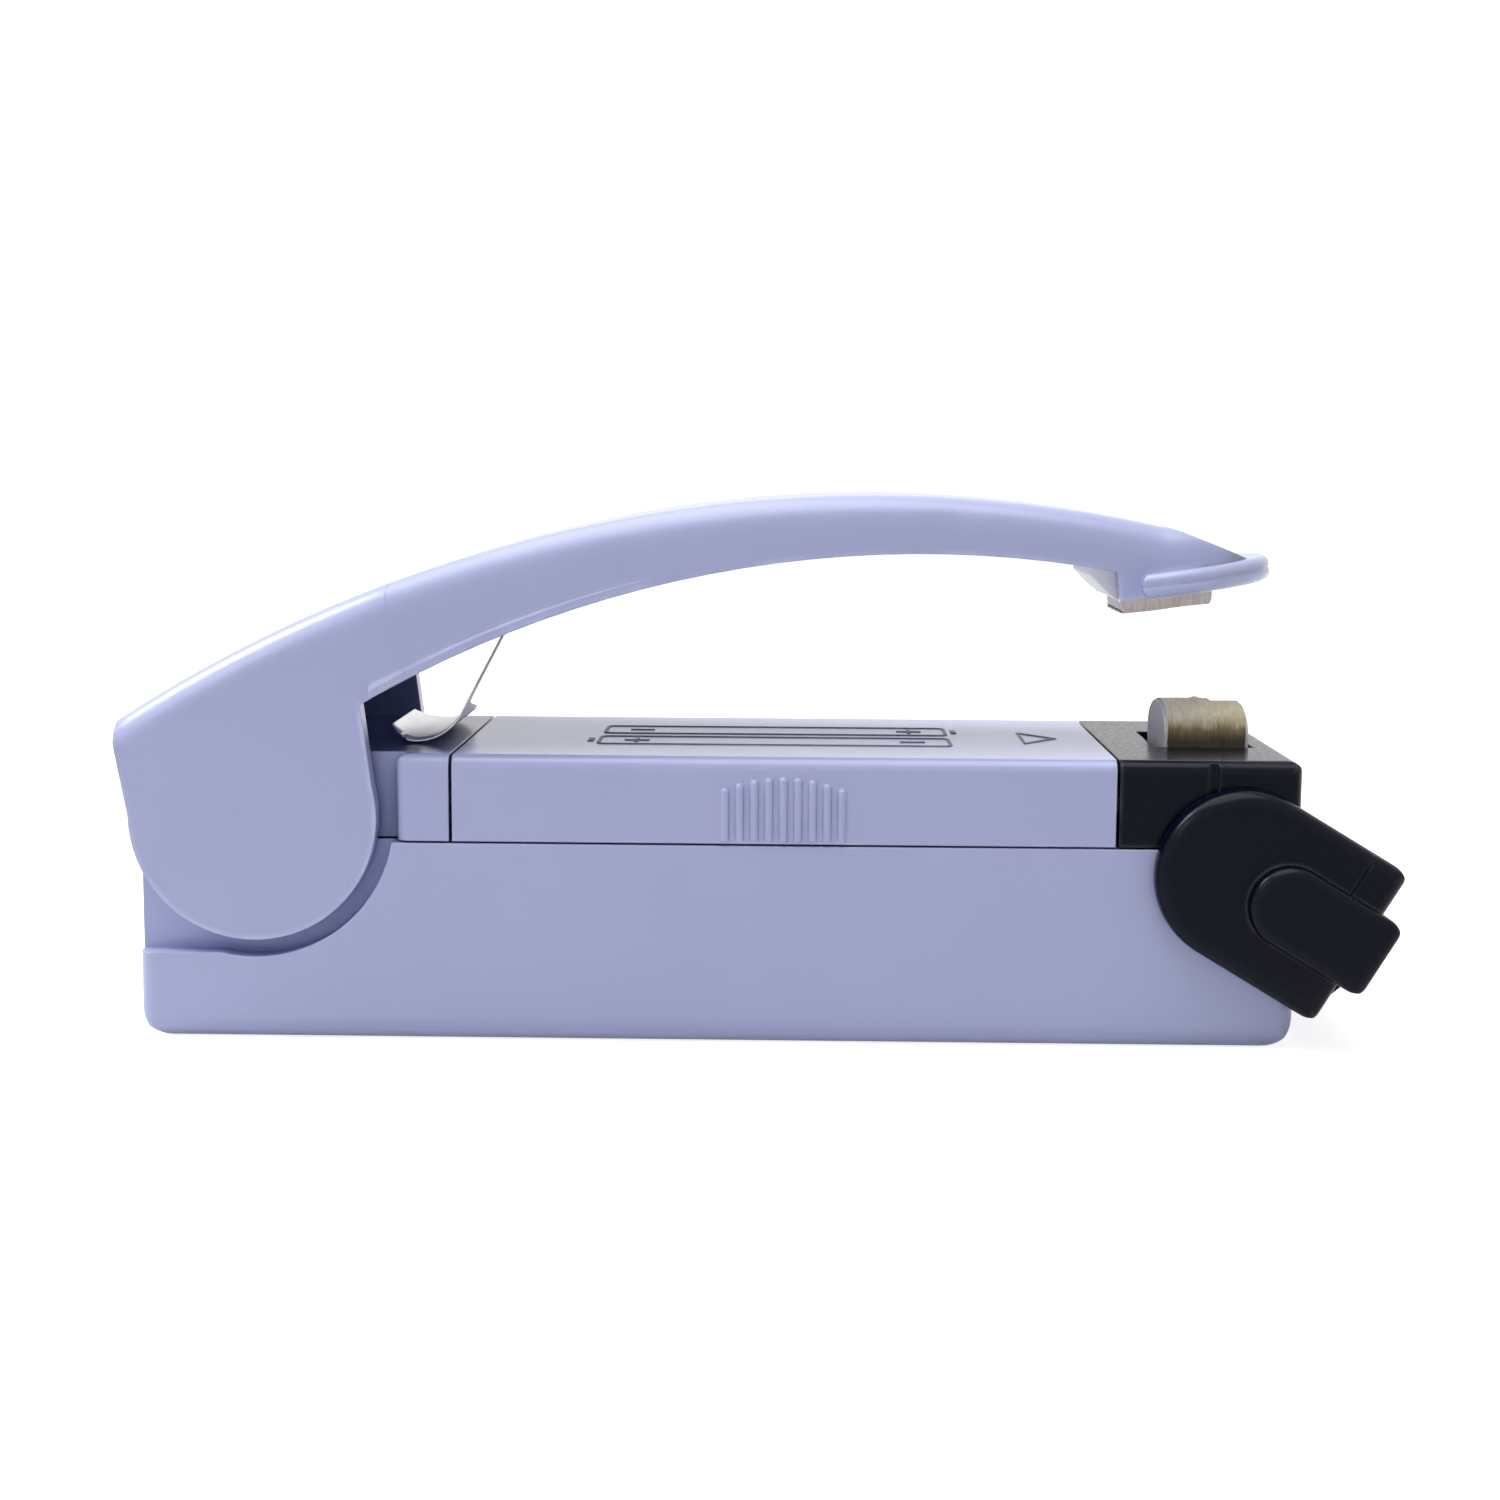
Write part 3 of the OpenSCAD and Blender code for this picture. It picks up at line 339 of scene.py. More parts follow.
def near_back(tree, place):
    """A softening radius that is wide along the lever's arched back and fine below it."""
    flat = tree.nodes.new("ShaderNodeVectorMath")
    flat.operation = "MULTIPLY_ADD"
    flat.inputs[1].default_value = (1, 0, 1)
    flat.inputs[2].default_value = (-BACK_X * MM, 0, -BACK_Z * MM)
    tree.links.new(place, flat.inputs[0])
    from_middle = tree.nodes.new("ShaderNodeVectorMath")
    from_middle.operation = "LENGTH"
    tree.links.new(flat.outputs[0], from_middle.inputs[0])
    return spread_out(tree, from_middle.outputs["Value"], BACK_LOW, BACK_TOP, FINE_EDGE, WIDE_EDGE)


def moulded(name, colour, edge_wear_and_highlight, gloss, shine, pit, depth,
            soften=0.0003, edge_width=0.0004, alone=True, reach=0.05, dark=0.03):
    """A moulded plastic, with all lengths in metres.

    colour, edge_wear_and_highlight, edge_width: of the faces, of the paler edges, which are partly
    wear and partly painted highlight, and how wide these are
    gloss, shine: roughness and specular level
    pit, depth: width and depth of the grain
    soften: the radius of the edges, or the step that finds it
    alone, reach, dark: whose pieces count for the painted shade in hollows, from how far, and how
    dark it is
    """
    finish, tree, shader, place = start_finish(name)
    clouds = spread_out(tree, grain(tree, place, 0.012, 2), 0.3, 0.7)
    deep = tuple(c * (1 - CLOUD_TINT) for c in colour)
    pale = tuple(min(1, c * (1 + CLOUD_TINT)) for c in colour)
    patchy = spread_out(tree, grain(tree, place, 0.004), 0.35, 0.65, 0.1, 1)
    # Paler edges in uneven patches, partly wear and partly a painted highlight on rims.
    wear_and_highlight = reckon(tree, "MULTIPLY", edges(tree, edge_width), patchy)
    outside = between(tree, wear_and_highlight, between(tree, clouds, deep, pale), edge_wear_and_highlight)
    # Painted shade: deep hollows are darkened towards a bluish copy of the colour.
    shade = tuple(c * dark * tint for c, tint in zip(colour, SHADE_TINT))
    body = between(tree, hollows(tree, place, reach, alone), shade, outside)
    tree.links.new(body, shader.inputs["Base Color"])
    skin = grain(tree, place, pit, 4)
    sheen = spread_out(tree, skin, 0.3, 0.7, gloss - 0.05, gloss + 0.06)
    tree.links.new(sheen, shader.inputs["Roughness"])
    shader.inputs["Specular IOR Level"].default_value = shine
    rough_skin(tree, shader, skin, depth, 0.5, soften(tree, place) if callable(soften) else soften)
    return finish


satin = dict(colour=LAVENDER, gloss=0.2, pit=0.00022, depth=0.000005)
lavender = moulded("lavender_plastic", edge_wear_and_highlight=PALE_EDGES, shine=0.5, **satin)
# The lever's paler, wider edges are a painted highlight on the lip beads and the lower rim, and the
# inside of its arm is painted nearly black as painted shade.
lever_skin = moulded("lever_plastic", edge_wear_and_highlight=LEVER_WEAR_AND_HIGHLIGHT, shine=0.5, soften=near_back, edge_width=0.0009,
                     **satin)
# The rear housing and the base get painted shade from every piece near them, such as the lever over
# the housing.
shaded = moulded("shaded_plastic", edge_wear_and_highlight=PALE_EDGES, shine=0.3, alone=False, dark=0.32, **satin)
base_skin = moulded("base_plastic", edge_wear_and_highlight=PALE_EDGES, shine=0.5, alone=False, reach=0.004, dark=0.6,
                    **satin)
# The black plastic's pale edges are a painted highlight along its rims.
black = moulded("black_plastic", colour=(0.0003, 0.0014, 0.0085), edge_wear_and_highlight=(0.06, 0.065, 0.085),
                gloss=0.22, shine=0.15, pit=0.0005, depth=0.000003, edge_width=0.0006)
white = moulded("white_plastic", colour=(0.93, 0.935, 0.95), edge_wear_and_highlight=(0.95, 0.95, 0.95),
                gloss=0.4, shine=0.5, pit=0.0003, depth=0.00001)
mark_grey = moulded("mark_grey", colour=(0.2, 0.2, 0.27), edge_wear_and_highlight=(0.3, 0.3, 0.38),
                    gloss=0.45, shine=0.4, pit=0.0003, depth=0.00001)
plastics = (lavender, lever_skin, shaded, base_skin, black, white, mark_grey)
print("plastics:", [m.name for m in plastics])

# %% [markdown]
# The metal pieces are rolled strip, drawn wire and turned pins. Rolling and drawing leave fine
# lines along one direction, so their noise is stretched that way. A mirror finish would look
# like chrome, which such small springs and contacts never have.

# %% Metals
BROWNED = (0.42, 0.37, 0.34)
BROWN_FADE = 0.0012


def rolled_metal(name, colour, dull, gloss, stretch, browned_above=None):
    """A metal with fine lines one way, tarnish in soft patches, and brown above a given height."""
    finish, tree, shader, place = start_finish(name)
    lines = grain(tree, place, 0.00012, 4, stretch)
    patches = spread_out(tree, grain(tree, place, 0.003, 3), 0.4, 0.75)
    skin = between(tree, patches, colour, dull)
    if browned_above:
        high = spread_out(tree, coordinate(tree, place, "Z"),
                          browned_above - BROWN_FADE, browned_above + BROWN_FADE)
        skin = between(tree, high, skin, BROWNED)
    tree.links.new(skin, shader.inputs["Base Color"])
    sheen = spread_out(tree, lines, 0.3, 0.7, gloss - 0.06, gloss + 0.1)
    tree.links.new(sheen, shader.inputs["Roughness"])
    shader.inputs["Metallic"].default_value = 1.0
    rough_skin(tree, shader, lines, 0.0000015, 0.4)
    return finish


spring_steel = rolled_metal("spring_steel", (0.94, 0.925, 0.92), (0.88, 0.865, 0.855), 0.32,
                            (8, 1, 8), browned_above=0.0315)
steel = rolled_metal("turned_steel", (0.62, 0.62, 0.63), (0.5, 0.5, 0.5), 0.3, (1, 12, 1))
nickel = rolled_metal("nickel_strip", (0.68, 0.66, 0.62), (0.55, 0.53, 0.5), 0.3, (12, 1, 1))
brass = rolled_metal("contact_brass", (0.75, 0.56, 0.27), (0.55, 0.4, 0.2), 0.32, (1, 1, 12))
print("metals:", [m.name for m in (spring_steel, steel, nickel, brass)])

# %% [markdown]
# The hot end has four small finishes: a pressed mineral block, a resistance ribbon browned by
# heat, a soft silicone pad and the tan cloth tape over both jaws. The tape is glass cloth soaked
# in a slippery resin, so its threads show as fine ribs that run over the jaw. Low on the heater
# its colour goes through brown to near black. One tape with a colour for each height is plainer
# here than three materials.

# %% Hot end finishes
# Heights and, for the yellower front, lengths at which the tape changes colour, in metres.
DARKEST_TO, BROWN_FROM = 0.0277, 0.0293
BROWN_TO, PALE_FROM = 0.0288, 0.0304
HEATER_TO, PAD_FROM = 0.033, 0.035
YELLOWER_FROM, YELLOWER_FULL = 0.0435, 0.0495
UNEVEN = 0.0012


def mineral_block():
    """Pale pressed fibre and mineral, speckled and dull."""
    finish, tree, shader, place = start_finish("mineral_block")
    specks = spread_out(tree, grain(tree, place, 0.0003, 5), 0.42, 0.7)
    soil = spread_out(tree, grain(tree, place, 0.0025, 3), 0.35, 0.75)
    pale = between(tree, specks, (0.95, 0.93, 0.94), (0.78, 0.76, 0.76))
    tree.links.new(between(tree, soil, pale, (0.84, 0.8, 0.79)), shader.inputs["Base Color"])
    shader.inputs["Roughness"].default_value = 0.75
    rough_skin(tree, shader, specks, 0.00003, 0.6)
    return finish


def silicone_rubber():
    """Milky rubber with a soft sheen."""
    finish, tree, shader, place = start_finish("silicone_rubber")
    milk = spread_out(tree, grain(tree, place, 0.002, 3), 0.3, 0.7)
    body = between(tree, milk, (0.68, 0.65, 0.6), (0.74, 0.72, 0.68))
    tree.links.new(body, shader.inputs["Base Color"])
    shader.inputs["Roughness"].default_value = 0.5
    shader.inputs["Subsurface Weight"].default_value = 0.15
    shader.inputs["Subsurface Radius"].default_value = (0.001, 0.0008, 0.0006)
    rough_skin(tree, shader, grain(tree, place, 0.0004, 4), 0.00001, 0.5)
    return finish


def cloth_tape():
    """Tan glass cloth: ribs of thread, crossed by finer ones, darker low on the heater."""
    finish, tree, shader, place = start_finish("cloth_tape")
    threads = grain(tree, place, 0.00016, 2, (1, 10, 10))
    crossing = grain(tree, place, 0.0002, 2, (3, 1, 1))
    ribs = spread_out(tree, threads, 0.35, 0.65)
    darkest_low = between(tree, ribs, (0.035, 0.024, 0.014), (0.07, 0.048, 0.028))
    brown = between(tree, ribs, (0.2, 0.14, 0.056), (0.34, 0.25, 0.115))
    yellower = spread_out(tree, coordinate(tree, place, "X"), YELLOWER_FROM, YELLOWER_FULL)
    low_rib = between(tree, yellower, (0.88, 0.79, 0.63), (0.86, 0.75, 0.46))
    high_rib = between(tree, yellower, (1.0, 0.95, 0.82), (1.0, 0.92, 0.64))
    on_heater = between(tree, ribs, low_rib, high_rib)
    on_pad = between(tree, ribs, (0.66, 0.57, 0.5), (0.82, 0.73, 0.66))
    height = coordinate(tree, place, "Z")
    pale_above = between(tree, spread_out(tree, height, HEATER_TO, PAD_FROM), on_heater, on_pad)
    wavy_height = reckon(tree, "MULTIPLY_ADD", grain(tree, place, 0.0015, 3), UNEVEN, height)
    browned = between(tree, spread_out(tree, wavy_height, DARKEST_TO, BROWN_FROM), darkest_low, brown)
    cloth = between(tree, spread_out(tree, wavy_height, BROWN_TO, PALE_FROM), browned, pale_above)
    tree.links.new(cloth, shader.inputs["Base Color"])
    shader.inputs["Roughness"].default_value = 0.55
    shader.inputs["Sheen Weight"].default_value = 0.2
    rough_skin(tree, shader, reckon(tree, "MULTIPLY_ADD", crossing, 0.5, threads), 0.00006, 0.7)
    return finish


mineral = mineral_block()
silicone = silicone_rubber()
tape = cloth_tape()
ribbon = rolled_metal("browned_ribbon", (0.42, 0.36, 0.3), (0.2, 0.16, 0.15), 0.4, (1, 12, 12))
print("hot end:", [m.name for m in (mineral, silicone, tape, ribbon)])

# %% [markdown]
# The two cells are the plain kind: a printed film round a steel can, bare metal at both ends.
# The film could be a mesh of its own, but a mask along the can's length paints it on the solid.

# %% Cell jacket
BAND_FROM, FILM_TO, PRINT_FADE = 0.0165, 0.0233, 0.0002


def cell_jacket():
    """Slate film with a pale band, between bare ends of nickelled steel."""
    finish, tree, shader, place = start_finish("cell_jacket")
    low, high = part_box("cell_a")
    along_can = reckon(tree, "SUBTRACT", coordinate(tree, place, "X"), (low.x + high.x) / 2)
    from_middle = reckon(tree, "ABSOLUTE", along_can)
    bare = spread_out(tree, from_middle, FILM_TO, FILM_TO + PRINT_FADE)
    band = spread_out(tree, from_middle, BAND_FROM, BAND_FROM + PRINT_FADE)
    ink = spread_out(tree, grain(tree, place, 0.004, 3), 0.35, 0.7)
    film = between(tree, ink, (0.05, 0.07, 0.1), (0.065, 0.085, 0.12))
    banded = between(tree, band, film, (0.55, 0.56, 0.58))
    tree.links.new(between(tree, bare, banded, (0.66, 0.65, 0.62)), shader.inputs["Base Color"])
    tree.links.new(bare, shader.inputs["Metallic"])
    lines = grain(tree, place, 0.0002, 3, (8, 1, 1))
    tree.links.new(spread_out(tree, lines, 0.3, 0.7, 0.26, 0.36), shader.inputs["Roughness"])
    rough_skin(tree, shader, lines, 0.000005, 0.4)
    return finish


jacket = cell_jacket()
print("jacket:", jacket.name)

# %% [markdown]
# Each CAD piece keeps its shape and takes the finish listed for it here. Going through a list is
# plainer than picking each piece by hand.

# %% Finishes on the CAD pieces
piece_finishes = [
    (base_skin, ["base_shell"]),
    (lavender, ["battery_cover"]),
    (shaded, ["rear_housing"]),
    (lever_skin, ["lever_arm"]),
    (black, ["element_housing", "safety_guard"]),
    (white, ["pad_holder"]),
    (mineral, ["heater_carrier"]),
    (ribbon, ["heater_ribbon"]),
    (tape, ["heater_tape", "pad_tape"]),
    (silicone, ["press_pad"]),
    (spring_steel, ["leaf_spring", "heater_spring"]),
    (steel, ["hinge_pin", "case_screws", "leaf_rivets"]),
    (nickel, ["bridge_contact", "lead_plus", "lead_minus"]),
    (brass, ["moving_contacts"]),
    (jacket, ["cell_a", "cell_b"]),
]
for finish, names in piece_finishes:
    for name in names:
        nodes[name].data.materials.clear()
        nodes[name].data.materials.append(finish)
print("finished:", sum(len(names) for _, names in piece_finishes), "CAD pieces")

# %% [markdown]
# The tapes, the springs and the rubber pad are thin or soft, so they are worked as meshes. Each
# could be a plane with modifiers, but rows of computed points give both faces and the rim of a
# sheet at once, and keep every piece closed.

# %% Sheets, wires and blocks
def as_piece(name, form, finish):
    """Turns a worked form into an object with smooth faces and a finish."""
    bmesh.ops.recalc_face_normals(form, faces=form.faces)
    mesh = bpy.data.meshes.new(name)
    form.to_mesh(mesh)
    form.free()
    mesh.shade_smooth()
    mesh.set_sharp_from_angle(angle=math.radians(40))
    mesh.materials.append(finish)
    piece = bpy.data.objects.new(name, mesh)
    bpy.context.scene.collection.objects.link(piece)
    return piece


def thin_sheet(outer, inner):
    """A closed sheet between two grids of points in millimetres, with a rim all round."""
    form = bmesh.new()
    top = [[form.verts.new(Vector(p) * MM) for p in row] for row in outer]
    under = [[form.verts.new(Vector(p) * MM) for p in row] for row in inner]
    last, end = len(top) - 1, len(top[0]) - 1
    for i in range(last):
        for j in range(end):
            form.faces.new((top[i][j], top[i + 1][j], top[i + 1][j + 1], top[i][j + 1]))
            form.faces.new((under[i][j], under[i][j + 1], under[i + 1][j + 1], under[i + 1][j]))
        for j in (0, end):
            form.faces.new((top[i][j], under[i][j], under[i + 1][j], top[i + 1][j]))
    for j in range(end):
        for i in (0, last):
            form.faces.new((top[i][j], under[i][j], under[i][j + 1], top[i][j + 1]))
    return form


def tape_rows(length, rows, columns, cut_edges, point):
    """A grid over a tape: cut_edges ends a row of it, and point gives a spot's place in space."""
    grid = []
    for i in range(rows + 1):
        along = length * i / rows - length / 2
        low, high = cut_edges(along)
        grid.append([point(low + (high - low) * j / columns, along) for j in range(columns + 1)])
    return grid


def loft(rings):
    """A closed block through rings of points in millimetres, capped at both ends."""
    form = bmesh.new()
    loops = [[form.verts.new(Vector(p) * MM) for p in ring] for ring in rings]
    for near, far in zip(loops, loops[1:]):
        for k in range(len(near)):
            form.faces.new((near[k - 1], near[k], far[k], far[k - 1]))
    form.faces.new(loops[0])
    form.faces.new(loops[-1])
    return form


def ease(value, low, high):
    """0 below low, 1 above high, and a smooth step between."""
    t = min(1, max(0, (value - low) / (high - low)))
    return t * t * (3 - 2 * t)


# %% [markdown]
# The heater's tape is stretched over an arched block and held by its ends inside. The hot ribbon
# under it leaves a ridge across the top, the threads leave fine ribs, and the cut edges wander.
# Displacing a plain sheet would also do, but then the ridge would follow no real ribbon.

# %% Heater tape
# From here on, lengths are in millimetres.
HEATER_X, ARCH_TOP, ARCH_R, SHOULDER_R, HEATER_W = 46.3, 30.6, 9.0, 2.2, 5.6
SHOULDER_Y = HEATER_W - SHOULDER_R
SHOULDER_Z = ARCH_TOP - ARCH_R + math.sqrt((ARCH_R - SHOULDER_R) ** 2 - SHOULDER_Y ** 2)
TURN = math.asin(SHOULDER_Y / (ARCH_R - SHOULDER_R))
CROWN = ARCH_R * TURN
BEND = CROWN + SHOULDER_R * (math.pi / 2 - TURN)
TAPE_LENGTH, TAPE_REAR, TAPE_FRONT = 20.2, 3.68, 3.78
TAPE_T, TAPE_GAP, THREAD = 0.055, 0.008, 0.26
RIDGE_H, RIDGE_HALF, RIDGE_BACK = 0.17, 0.36, 0.25
STEP_H, STEP_FROM, STEP_FULL = 0.25, 0.9, 1.25
TUCK, TUCK_FROM, TUCK_FULL = 0.3, 6.2, 9.4


def arch_point(along, lift):
    """Across and height of the arch, along millimetres from its top, lifted off the block."""
    far, s = (1 if along > 0 else -1), abs(along)
    if s < CROWN:
        a = s / ARCH_R
        return (far * (ARCH_R + lift) * math.sin(a),
                ARCH_TOP - ARCH_R + (ARCH_R + lift) * math.cos(a))
    if s < BEND:
        a = TURN + (s - CROWN) / SHOULDER_R
        return (far * (SHOULDER_Y + (SHOULDER_R + lift) * math.sin(a)),
                SHOULDER_Z + (SHOULDER_R + lift) * math.cos(a))
    return far * (HEATER_W + lift), SHOULDER_Z - (s - BEND)


def step_down(x):
    """The front of the block lies a little lower than the ribbon's ridge."""
    return STEP_H * ease(x - HEATER_X, STEP_FROM, STEP_FULL)


def tape_lift(x, along):
    """How far the tape's face stands off the block: ridge, threads and a slow sag."""
    from_ridge = x - HEATER_X + RIDGE_BACK - 0.05 * math.sin(along)
    ridge = RIDGE_H * math.exp(-(from_ridge / RIDGE_HALF) ** 2)
    threads = 0.011 * math.cos(2 * math.pi * x / THREAD + 0.6 * math.sin(0.8 * along))
    sag = 0.016 * math.sin(1.3 * x + 0.5 * along) * math.cos(0.4 * along)
    return TAPE_T + ridge + threads + sag - step_down(x)


def tape_back(x, along):
    """The tape's back lies on the block."""
    return TAPE_GAP - step_down(x)


def tape_edges(along):
    """The cut edges of the tape, which wander; the front one draws in towards both feet."""
    tuck = TUCK * ease(abs(along), TUCK_FROM, TUCK_FULL)
    return (HEATER_X - TAPE_REAR + 0.04 * math.sin(1.9 * along),
            HEATER_X + TAPE_FRONT + 0.05 * math.sin(1.4 * along + 1) - tuck)


def tape_grid(lift):
    """Rows of points over the arch, from the near foot of the tape to the far one."""
    return tape_rows(TAPE_LENGTH, 72, 116, tape_edges,
                     lambda x, along: (x, *arch_point(along, lift(x, along))))


heater_cloth = as_piece("heater_cloth", thin_sheet(tape_grid(tape_lift), tape_grid(tape_back)),
                        tape)
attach(heater_cloth, "heater")
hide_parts("heater_tape")
print("heater tape:", len(heater_cloth.data.vertices), "points")

# %% [markdown]
# The pressing jaw is a block of silicone with a neck that clips into its white holder. Under it
# lies a second tape, folded up both sides. Rings of a rounded outline, drawn in a little at the
# two ends, give a moulded block more exactly than a bevelled cube would.

# %% Pressing pad
NOSE_X, NOSE_Z, NOSE_TILT = 37.3, 40.503, math.radians(7.4)
PAD_HALF, NECK_HALF, PAD_LOW, PAD_SEAM, NECK_TOP = 5.75, 3.95, -1.33, -0.05, 1.13
PAD_ROUND, PAD_H = 0.35, 1.4
PAD_RINGS = [(0.58, 0.3), (0.62, 0.16), (0.72, 0.05), (0.9, 0), (3.4, 0.02),
             (6.2, 0.02), (8.7, 0), (8.88, 0.05), (8.98, 0.16), (9.02, 0.3)]


def on_nose(u, y, v):
    """A point given along, across and above the nose's sloping underside."""
    return (NOSE_X + u * math.cos(NOSE_TILT) - v * math.sin(NOSE_TILT), y,
            NOSE_Z + u * math.sin(NOSE_TILT) + v * math.cos(NOSE_TILT))


def soft_corners(points, radius, steps=5):
    """A closed outline with its corners rounded."""
    outline = []
    for k, corner in enumerate(points):
        corner = Vector(corner)
        back = (Vector(points[k - 1]) - corner).normalized()
        on = (Vector(points[(k + 1) % len(points)]) - corner).normalized()
        for i in range(steps + 1):
            t = i / steps
            outline.append(corner + radius * (back * (1 - t) ** 2 + on * t ** 2))
    return outline


pad_outline = soft_corners([(-PAD_HALF, PAD_LOW), (PAD_HALF, PAD_LOW), (PAD_HALF, PAD_SEAM),
                            (NECK_HALF, PAD_SEAM), (NECK_HALF, NECK_TOP), (-NECK_HALF, NECK_TOP),
                            (-NECK_HALF, PAD_SEAM), (-PAD_HALF, PAD_SEAM)], PAD_ROUND)
pad_rings = [[on_nose(u, y * (1 - inset / PAD_HALF), v * (1 - inset / PAD_H))
              for y, v in pad_outline] for u, inset in PAD_RINGS]
rubber_pad = as_piece("rubber_pad", loft(pad_rings), silicone)
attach(rubber_pad, "lever")
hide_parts("press_pad")
print("pad:", len(rubber_pad.data.vertices), "points")

# %% [markdown]
# The pad's tape is the same cloth as the heater's, cut shorter. It lies flat under the pad, turns
# up round both of its long edges and ends beside the holder. A cloth simulation could fold it,
# but a line of flat, bend and flat is what a pressed fold settles to.

# %% Pad tape
FOLD_HALF, FOLD_LOW, FOLD_R, FOLD_LENGTH = 5.8, -1.35, 0.55, 13.7
FOLD_FLAT = FOLD_HALF - FOLD_R
FOLD_BEND = FOLD_FLAT + FOLD_R * math.pi / 2
FOLD_REAR, FOLD_FRONT = 0.55, 9.05
FOLD_T, FOLD_GAP = 0.12, 0.005


def fold_point(along, lift):
    """Across and height of the fold, along millimetres from its middle; lift goes outward."""
    far, s = (1 if along > 0 else -1), abs(along)
    if s < FOLD_FLAT:
        return far * s, FOLD_LOW - lift
    if s < FOLD_BEND:
        a = (s - FOLD_FLAT) / FOLD_R
        return (far * (FOLD_FLAT + (FOLD_R + lift) * math.sin(a)),
                FOLD_LOW + FOLD_R - (FOLD_R + lift) * math.cos(a))
    return far * (FOLD_HALF + lift), FOLD_LOW + FOLD_R + s - FOLD_BEND


def fold_lift(u, along):
    """How far the folded tape's face stands off the pad: threads and a slow wave."""
    threads = 0.012 * math.cos(2 * math.pi * u / THREAD + 0.5 * math.sin(along))
    return FOLD_T + threads + 0.025 * math.sin(1.1 * u + 0.4 * along)


def fold_back(u, along):
    """The folded tape's back lies on the pad."""
    return FOLD_GAP


def fold_edges(along):
    """The cut edges of the folded tape, which wander and draw in at the bends."""
    side = ease(abs(along), 5.0, 6.3)
    pinch = 0.35 * (1 - side) * ease(abs(along), 3.5, 5.0)
    return (FOLD_REAR + 0.05 * math.sin(2.1 * along) + 0.12 * side,
            FOLD_FRONT + 0.06 * math.sin(1.7 * along + 2) - pinch)


def fold_grid(lift):
    """Rows of points across the pad, from the near edge of the tape under it to the far edge."""
    return tape_rows(FOLD_LENGTH, 64, 88, fold_edges,
                     lambda u, along: on_nose(u, *fold_point(along, lift(u, along))))


pad_cloth = as_piece("pad_cloth", thin_sheet(fold_grid(fold_lift), fold_grid(fold_back)),
                     tape)
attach(pad_cloth, "lever")
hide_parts("pad_tape")
print("pad tape:", len(pad_cloth.data.vertices), "points")

# %% [markdown]
# The leaf spring lifts the lever. It is one strip of spring steel: a wide curled foot that slides
# on the rear block, a narrow stem along its near edge, and a root riveted under the lever. Rows
# along its bent line, each with a near and a far edge, give the sloping shoulder of the foot.

# %% Leaf spring
LEAF_T, FOOT_X, FOOT_Z, LEAN = 0.2, -28.6, 26.77, math.radians(28)
CURL_R, CURL_TURN, HEEL_R = 2.5, 67, 4.9
STEM_STEP, ROOT_STEP, ROOT_START = 0.2, 0.36, 0.12
LEAF_R, STEM_GAP, ROOT_DROP = 126.08, 0.75, 0.45
NEAR_EDGE, STEM_EDGE, ROOT_EDGE, THIN_EDGE = -8.5, -6.7, -2.1, 0.07
TIP_TAPER, TAPER_FROM, TAPER_FULL = 0.9, 29.4, 31
TIP_EDGE = [(-31.1, 3.4), (-30.7, 6.6), (-30.1, 9.4), (-29.3, 11.2), (-28.6, 11.5)]
SHOULDER = [(26.7, 11.5), (27.1, 11.4), (27.8, 10), (28.9, 5),
            (29.5, 0), (30.0, -3.6), (30.4, -6.2), (31, -6.7)]


def read_line(value, points):
    """The height at a value of a line through points."""
    for (x0, y0), (x1, y1) in zip(points, points[1:]):
        if value < x1:
            return y0 + (y1 - y0) * max(0, value - x0) / (x1 - x0)
    return points[-1][1]


def leaf_line():
    """Rows of the strip as x, z and its near and far edge, from the curled tip to the root."""
    line = []
    sole = FOOT_Z + LEAF_T / 2
    for i in range(17):
        a = math.radians(CURL_TURN - CURL_TURN * i / 16)
        x = FOOT_X - CURL_R * math.sin(a)
        near = NEAR_EDGE + TIP_TAPER * ease(-x, TAPER_FROM, TAPER_FULL)
        line.append((x, sole + CURL_R * (1 - math.cos(a)), near, read_line(x, TIP_EDGE)))
    for i in range(1, 25):
        a = (math.pi / 2 - LEAN) * i / 24
        z = sole + HEEL_R * (1 - math.cos(a))
        line.append((FOOT_X + HEEL_R * math.sin(a), z, NEAR_EDGE, read_line(z, SHOULDER)))
    x0, z0 = line[-1][:2]
    for i in range(1, 80):
        x, z = x0 + STEM_STEP * i * math.sin(LEAN), z0 + STEM_STEP * i * math.cos(LEAN)
        if math.hypot(x - BACK_X, z - BACK_Z) > LEAF_R - STEM_GAP:
            break
        line.append((x, z, NEAR_EDGE, max(STEM_EDGE, read_line(z, SHOULDER))))
    x0 = line[-1][0]
    for i in range(1, 25):
        x = x0 + ROOT_START + ROOT_STEP * i
        roof = BACK_Z + math.sqrt((LEAF_R - LEAF_T / 2) ** 2 - (x - BACK_X) ** 2)
        far = STEM_EDGE + (ROOT_EDGE - STEM_EDGE) * ease(i, 0, 4)
        line.append((x, roof - ROOT_DROP * (1 - ease(i, 0, 3)), NEAR_EDGE, far))
    return line


def strip_grid(line, lift):
    """Rows of points across a strip, shifted by lift along its normal, with thinner edges."""
    rows = []
    for k, (x, z, near, far) in enumerate(line):
        before, after = line[max(0, k - 1)], line[min(len(line) - 1, k + 1)]
        way = Vector((after[0] - before[0], after[1] - before[1])).normalized()
        across = [(near, 0.5), (near + THIN_EDGE, 1)]
        across += [(near + (far - near) * t / 8, 1) for t in range(1, 8)]
        across += [(far - THIN_EDGE, 1), (far, 0.5)]
        rows.append([(x - way.y * lift * share, y, z + way.x * lift * share)
                     for y, share in across])
    return rows


